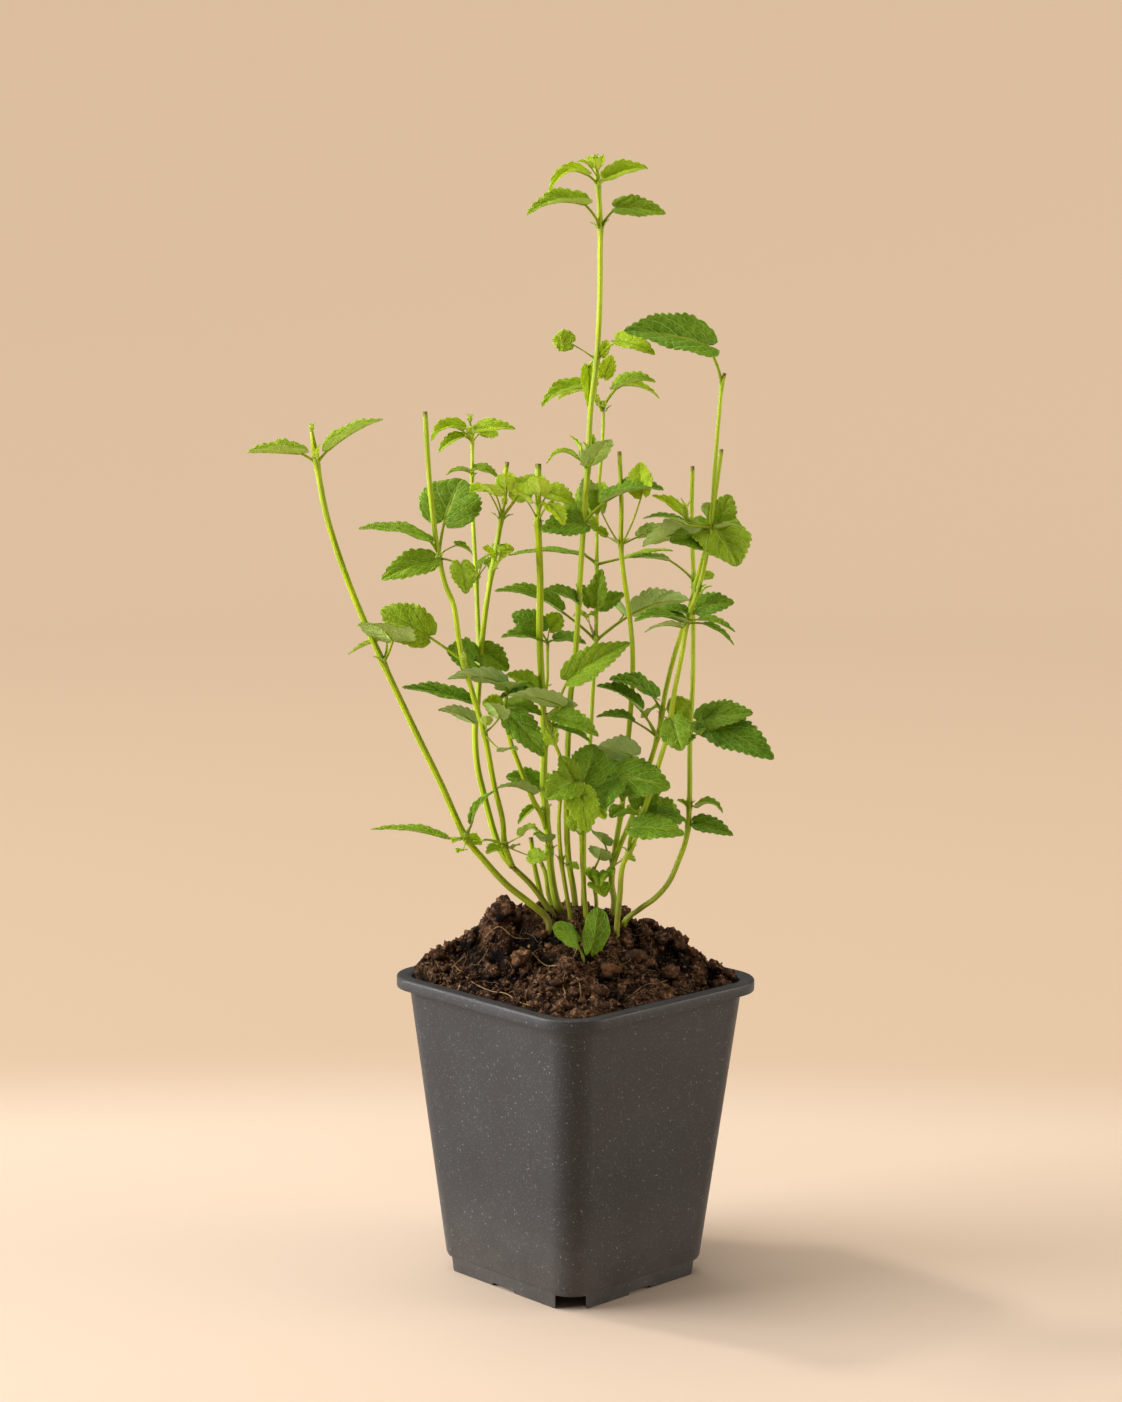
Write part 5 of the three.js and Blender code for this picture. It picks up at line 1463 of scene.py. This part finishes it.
# %% [markdown]
# ## Stem skins
# A stem is thickest at the soil, swells where each pair of leaves stands, and narrows towards a live tip.
# The brown of its foot and of a cut end, and the painted highlight along its corners, are painted from
# numbers that each point of the skin keeps. A picture wrapped round the stem would stretch where it swells.

# %% Stem skins
# The brown of the foot fades between these heights
FOOT_BROWN = (138.0, 185.0)
NODE_REACH = 2.2
NODE_SWELL = 0.28
STEM_SIDES = 20
STEM_POWER = 1.22
STEM_TURN = 0.12


def node_heights(leaves, apart=5):
    """Leaves that stand within 5 mm of each other in height share a node."""
    found = []
    for height in sorted(leaf[0] for leaf in leaves):
        if not found or height - found[-1] > apart:
            found.append(height)
    return found


def stem_skin(path, thick, nodes, live, luck):
    """A soft square carried along the stem: its half width falls evenly from foot to tip, swells at each
    node by a bell curve with a reach of 2.2 mm, and narrows at its end: to half in the last 6 mm of a live
    tip, and by a tenth in the last 2 mm of a cut one. place is (brown of the foot, closeness to a node,
    closeness to a corner, which sets the painted highlight), tint is (youth, cut end, luck)."""
    share = np.linspace(0, 1, len(path))
    z = path[:, 2]
    bell = sum((np.exp(-((z - node) / NODE_REACH) ** 2) for node in nodes), np.zeros(len(path)))
    radius = (thick[0] + (thick[1] - thick[0]) * share) * (1 + NODE_SWELL * bell)
    step = np.linalg.norm(path[1] - path[0])
    end = step * np.arange(len(path))[::-1]
    if live:
        radius = radius * (0.5 + 0.5 * np.clip(end / 6, 0, 1))
    else:
        radius = radius * (0.9 + 0.1 * np.clip(end / 2, 0, 1))
    brown = np.clip((FOOT_BROWN[1] - z) / (FOOT_BROWN[1] - FOOT_BROWN[0]), 0, 1)
    cut_end = np.zeros(len(path)) if live else np.clip(1.3 - end / 2.6, 0, 1)
    youth = np.clip((z - 150) / 230, 0, 1) ** 0.7
    angle = np.linspace(0, 2 * math.pi, STEM_SIDES, endpoint=False)
    # Closeness to a corner, which the stem paint turns into a painted highlight.
    corner = np.abs(np.cos(2 * angle)) ** 3 + np.zeros((len(path), 1))
    wide = lambda values: np.broadcast_to(values[:, None], corner.shape)
    place = np.stack([wide(brown), wide(np.minimum(bell, 1)), corner], axis=-1)
    tint = np.stack([wide(youth), wide(cut_end), np.full(corner.shape, luck)], axis=-1)
    return tube_skin(path, radius, STEM_SIDES, STEM_POWER, STEM_TURN, place=place, tint=tint, finish=1)


shared = node_heights(STEMS["stem_far_left"]["leaves"])
print("nodes of the far left stem stand at", shared, "mm")

# %% [markdown]
# ## Buds and scale leaves
# A live tip ends in a bud of tiny folded leaves, each pair crossing the one below, and two scale leaves
# sit in the corners over each node. They could be balls, but in the light their small folds show, so
# they are blades like the large ones, only shorter.

# %% Buds and scale leaves
# Pairs of a bud: share of its size, spread from the stem in radians
BUD_PAIRS = [(1.0, 0.75), (0.8, 0.42), (0.6, 0.16)]
BUD_YOUTH = 0.95


def level_way(angle):
    """The level direction at an angle in radians."""
    return np.array([math.cos(angle), math.sin(angle), 0])


def tiny_leaf(at, way, length, spread, youth, luck):
    """A small folded leaf that rises from a point, tilted outwards from the stem's direction."""
    tip = np.asarray(at) + length * unit(np.cos(spread) * UP + np.sin(spread) * unit(way))
    start = np.asarray(at) + 0.12 * (tip - at)
    return blade_skin(start, tip, length * 0.5, 0, HALF, youth, luck)


def bud_skins(tip, size, dice):
    """Three pairs of tiny leaves, each pair crossing the one below, shorter and steeper upwards."""
    made = []
    heading = dice.uniform(0, math.pi)
    for pair, (share, spread) in enumerate(BUD_PAIRS):
        for half_turn in (0, math.pi):
            way = level_way(heading + pair * math.pi / 2 + half_turn + dice.normal(0, 0.15))
            at = tip + UP * (pair * 0.5 - 1.2) * size / 5
            tilt = spread + dice.normal(0, 0.06)
            made.append(tiny_leaf(at, way, size * share, tilt, BUD_YOUTH, dice.random()))
    return made


def axil_skins(at, dice):
    """A pair of scale leaves in the corners between the stem and its stalks."""
    heading = dice.uniform(0, math.pi)
    made = []
    for half_turn in (0, math.pi):
        way = level_way(heading + half_turn + dice.normal(0, 0.2))
        length, spread = dice.uniform(2.4, 4.6), dice.uniform(0.5, 1.1)
        youth, luck = dice.uniform(0.5, 0.9), dice.random()
        made.append(tiny_leaf(at + 0.8 * way, way, length, spread, youth, luck))
    return made


print("leaves in a bud:", len(bud_skins(np.zeros(3), 5, np.random.default_rng(0))))

# %% [markdown]
# ## Growing a stem
# One function grows a stem: first its axis, then each leaf on its stalk, then the scale leaves and the
# bud, and at last its side shoots, which are stems of their own. Every stem throws its own dice, so that
# one can be changed while the others stay as they are.

# %% Growing a stem
# How deep a stem goes into the soil, and the step along it
ROOT_DEPTH = 12.0
STEM_STEP = 1.5
# Share of the half widths above at which the stems are drawn
SLIM = 0.77
# Size of a bud, and of one above the given height
BUD_SIZE, TOP_BUD_SIZE = 4.2, 5.0
TOP_HEIGHT = 400


def leaf_youth(leaf, live_tip, length, dice):
    """Leaves near a live tip and small leaves are young. A last number on the leaf's row sets it."""
    if len(leaf) > 6:
        return leaf[6]
    near_tip = np.clip(1 - (live_tip - leaf[0]) / 55, 0, 1) if live_tip else 0
    small = np.clip((13 - length) / 14, 0, 0.5)
    return float(np.clip(0.75 * near_tip + small + dice.normal(0.12, 0.09), 0, 1))


def grow(stem, dice, rooted=True):
    """The skins of a stem: its axis, its leaves on their stalks, scale leaves, bud and side shoots."""
    route = np.array(stem["route"], float)
    smooth, live = stem.get("smooth", False), stem.get("live", False)
    if rooted:
        route = np.concatenate([[route[0] - ROOT_DEPTH * UP], route])
    length = np.linalg.norm(np.diff(route, axis=0), axis=1).sum()
    path = smooth_path(route, max(10, round(length / STEM_STEP)))
    leaves = stem.get("leaves", [])
    nodes = node_heights(leaves) if not smooth else []
    made = [stem_skin(path, SLIM * np.array(stem["thick"]), nodes, live or smooth, dice.random())]
    fine = smooth_path(route, 400)
    at_height = lambda z: fine[np.argmin(np.abs(fine[:, 2] - z))]
    for leaf in leaves:
        height, start, tip, width, lean, lies = leaf[:6]
        size = np.linalg.norm(np.subtract(tip, start))
        youth = leaf_youth(leaf, route[-1, 2] if live else None, size, dice)
        luck = dice.random()
        made.append(blade_skin(start, tip, width, lean, lies, youth, luck, smooth))
        made.append(stalk_skin(at_height(height), start, tip, lean, lies, youth, luck))
    for node in nodes:
        if live or path[-1, 2] - node > 8:
            made += axil_skins(at_height(node), dice)
    if live:
        bud = TOP_BUD_SIZE if route[-1, 2] > TOP_HEIGHT else BUD_SIZE
        made += bud_skins(path[-1], bud, dice)
    for shoot in stem.get("shoots", []):
        made += grow(shoot, dice, rooted=False)
    return made


print("skins in the left stub:", len(grow(STEMS["stub_left"], np.random.default_rng(0))))

# %% [markdown]
# ## Leaf finish
# A leaf is dark and matt above, with pale sunken veins and a fine net between them, paler below, and light
# shines through it: young leaves glow yellow-green. So its shader mixes a soft surface with one that passes
# light. The veins are drawn from the numbers that each point keeps, so they follow the blade. Painted shade
# darkens the hollows beside the veins and the net above, and a painted glow lightens the edge.

# %% Leaf finish
def vein_masks(tree, vein, across):
    """Three masks from 0 to 1: the veins themselves, the hollow round each side vein, which takes painted
    shade above, and the edge, which takes a painted glow. off is how far the vein number is from a whole
    one, which is where the vein lies."""
    shifted = sums(tree, "FRACT", sums(tree, "ADD", vein, 0.5))
    off = sums(tree, "ABSOLUTE", sums(tree, "SUBTRACT", shifted, 0.5))
    distance = sums(tree, "ABSOLUTE", across)
    side_vein = times(tree, ramp(tree, off, 0.02, 0.07, 1, 0), ramp(tree, distance, 0.78, 1.0, 1, 0))
    midrib = ramp(tree, distance, 0.03, 0.11, 1, 0)
    hollow = times(tree, ramp(tree, off, 0.1, 0.36, 1, 0), ramp(tree, distance, 0.7, 1.0, 1, 0.2))
    # The edge mask is a painted glow along the margin, where light shines through the thin edge.
    edge = ramp(tree, distance, 0.94, 1.0, 0, 0.4)
    return sums(tree, "MAXIMUM", side_vein, midrib), hollow, edge


def leaf_colour(tree, youth, upper, luck):
    """The blade without its veins: dark and glowing greens in clouds above, and a pale green below."""
    mature = blend_colour(tree, luck, (0.072, 0.200, 0.003), (0.135, 0.280, 0.005))
    young = blend_colour(tree, luck, (0.480, 0.660, 0.008), (0.620, 0.760, 0.016))
    top = blend_colour(tree, youth, mature, young)
    cloud = ramp(tree, noise(tree, 140, 3), 0.35, 0.7, 0, 0.4)
    light = blend_colour(tree, youth, (0.235, 0.395, 0.012), (0.640, 0.740, 0.030))
    top = blend_colour(tree, cloud, top, light)
    beneath = blend_colour(tree, youth, (0.500, 0.690, 0.270), (0.620, 0.760, 0.130))
    return blend_colour(tree, upper, beneath, top)


def leaf_finish():
    """The blade's colour, with painted shade beside the veins and in the net above, pale on veins and net,
    and a painted glow along the edge. Its bump sinks veins above and raises them below, and a second shader
    passes light through."""
    material, tree, shader = start_finish("hyssop_leaf", 0.5)
    vein, across, _ = numbers(tree, "place")
    youth, upper, luck = numbers(tree, "tint")
    veins, hollow, edge = vein_masks(tree, vein, across)
    net = ramp(tree, cells(tree, 1050), 0.0, 0.2, 1, 0)
    coarse_net = ramp(tree, cells(tree, 400), 0.0, 0.16, 1, 0)
    vein_colour = blend_colour(tree, youth, (0.440, 0.610, 0.090), (0.780, 0.880, 0.120))
    base = leaf_colour(tree, youth, upper, luck)
    # Painted shade on the upper face: darker in the hollows beside the side veins and along the lines of
    # the net.
    shade = times(tree, upper, sums(tree, "MULTIPLY_ADD", hollow, 0.35, times(tree, net, 0.2)))
    deep = blend_colour(tree, youth, (0.045, 0.150, 0.004), (0.230, 0.400, 0.006))
    base = blend_colour(tree, shade, base, deep)
    pale_net = times(tree, sums(tree, "SUBTRACT", 1.0, upper), net)
    # Pale veins and net are the leaf's own colour; the edge mask adds a painted glow along the margin.
    for mask in (times(tree, coarse_net, 0.25), times(tree, pale_net, 0.2), times(tree, veins, 0.85), edge):
        base = blend_colour(tree, mask, base, vein_colour)
    feed(tree, shader.inputs["Base Color"], base)
    feed(tree, shader.inputs["Roughness"], ramp(tree, noise(tree, 400, 2), 0.3, 0.7, 0.42, 0.6))
    shader.inputs["Specular IOR Level"].default_value = 0.15

    flush = sums(tree, "SUBTRACT", 1.0, sums(tree, "MAXIMUM", times(tree, coarse_net, 0.5), veins))
    raised = sums(tree, "MULTIPLY_ADD", upper, 2.0, -1.0)
    quilt = relief(tree, times(tree, flush, raised), 0.0003, 0.8)
    bump = relief(tree, times(tree, net, raised), 0.00008, 0.6, quilt)
    feed(tree, shader.inputs["Normal"], bump)

    glow = blend_colour(tree, youth, (0.330, 0.590, 0.004), (0.860, 0.940, 0.014))
    through = tree.nodes.new("ShaderNodeBsdfTranslucent")
    feed(tree, through.inputs["Color"], blend_colour(tree, 0.5, base, glow))
    feed(tree, through.inputs["Normal"], bump)
    mix = tree.nodes.new("ShaderNodeMixShader")
    feed(tree, mix.inputs["Fac"], ramp(tree, youth, 0, 0.8, 0.28, 0.46))
    tree.links.new(shader.outputs[0], mix.inputs[1])
    tree.links.new(through.outputs[0], mix.inputs[2])
    tree.links.new(mix.outputs[0], tree.nodes["Material Output"].inputs["Surface"])
    return material


leaf_paint = leaf_finish()
print("nodes in the leaf finish:", len(leaf_paint.node_tree.nodes))

# %% [markdown]
# ## Stem finish
# A stem is yellow-green with darker streaks, with a painted highlight along its corners, and darker round
# its nodes. Towards the soil it turns brown in patches, and a cut end dries to a ragged brown rim. Streaks
# are noise that is drawn out along the stem, which needs no unwrapping.

# %% Stem finish
def stem_finish():
    """Green by age, then streaks, a painted highlight on the corners, nodes, the brown foot and the cut
    end, one over the other.
    """
    material, tree, shader = start_finish("hyssop_stem", 0.42)
    brown, node, corner = numbers(tree, "place")
    youth, cut_end, _ = numbers(tree, "tint")
    base = blend_colour(tree, youth, (0.255, 0.335, 0.006), (0.385, 0.500, 0.008))
    streak = noise(tree, 260, 3, stretch=(1, 1, 0.06))
    base = blend_colour(tree, ramp(tree, streak, 0.35, 0.65, 0, 0.7), base, (0.160, 0.240, 0.006))
    # Painted highlight: the stem's corners are lightened as if they caught the light.
    base = blend_colour(tree, times(tree, corner, 0.4), base, (0.640, 0.710, 0.020))
    base = blend_colour(tree, times(tree, node, 0.45), base, (0.170, 0.270, 0.012))
    patches = ramp(tree, noise(tree, 90, 3), 0.3, 0.7, 0.35, 0.9)
    foot = times(tree, ramp(tree, brown, 0.15, 1.0), patches)
    base = blend_colour(tree, foot, base, (0.110, 0.075, 0.020))
    fray = times(tree, sums(tree, "SUBTRACT", noise(tree, 700, 2), 0.5), 0.8)
    ragged = sums(tree, "ADD", cut_end, fray)
    base = blend_colour(tree, ramp(tree, ragged, 0.25, 1.1), base, (0.120, 0.085, 0.014))
    feed(tree, shader.inputs["Base Color"], base)
    shader.inputs["Specular IOR Level"].default_value = 0.13
    shader.inputs["Subsurface Weight"].default_value = 0.12
    shader.inputs["Subsurface Scale"].default_value = 0.002
    grain = noise(tree, 900, 3, stretch=(1, 1, 0.15))
    feed(tree, shader.inputs["Normal"], relief(tree, grain, 0.0001, 0.5))
    return material


stem_paint = stem_finish()
print("nodes in the stem finish:", len(stem_paint.node_tree.nodes))

# %% [markdown]
# ## Grow the plant
# Each stem, stub and low leaf becomes a piece of its own, in the place of the plain solid of that name.
# One mesh for the whole plant would be simpler, but then no stem could be hidden or reused by itself.

# %% Grow the plant
FIRST_SEED = 100
for number, (name, stem) in enumerate(STEMS.items()):
    grown = grow(stem, np.random.default_rng(FIRST_SEED + number))
    make_piece("grown_" + name, grown, [leaf_paint, stem_paint], [name])
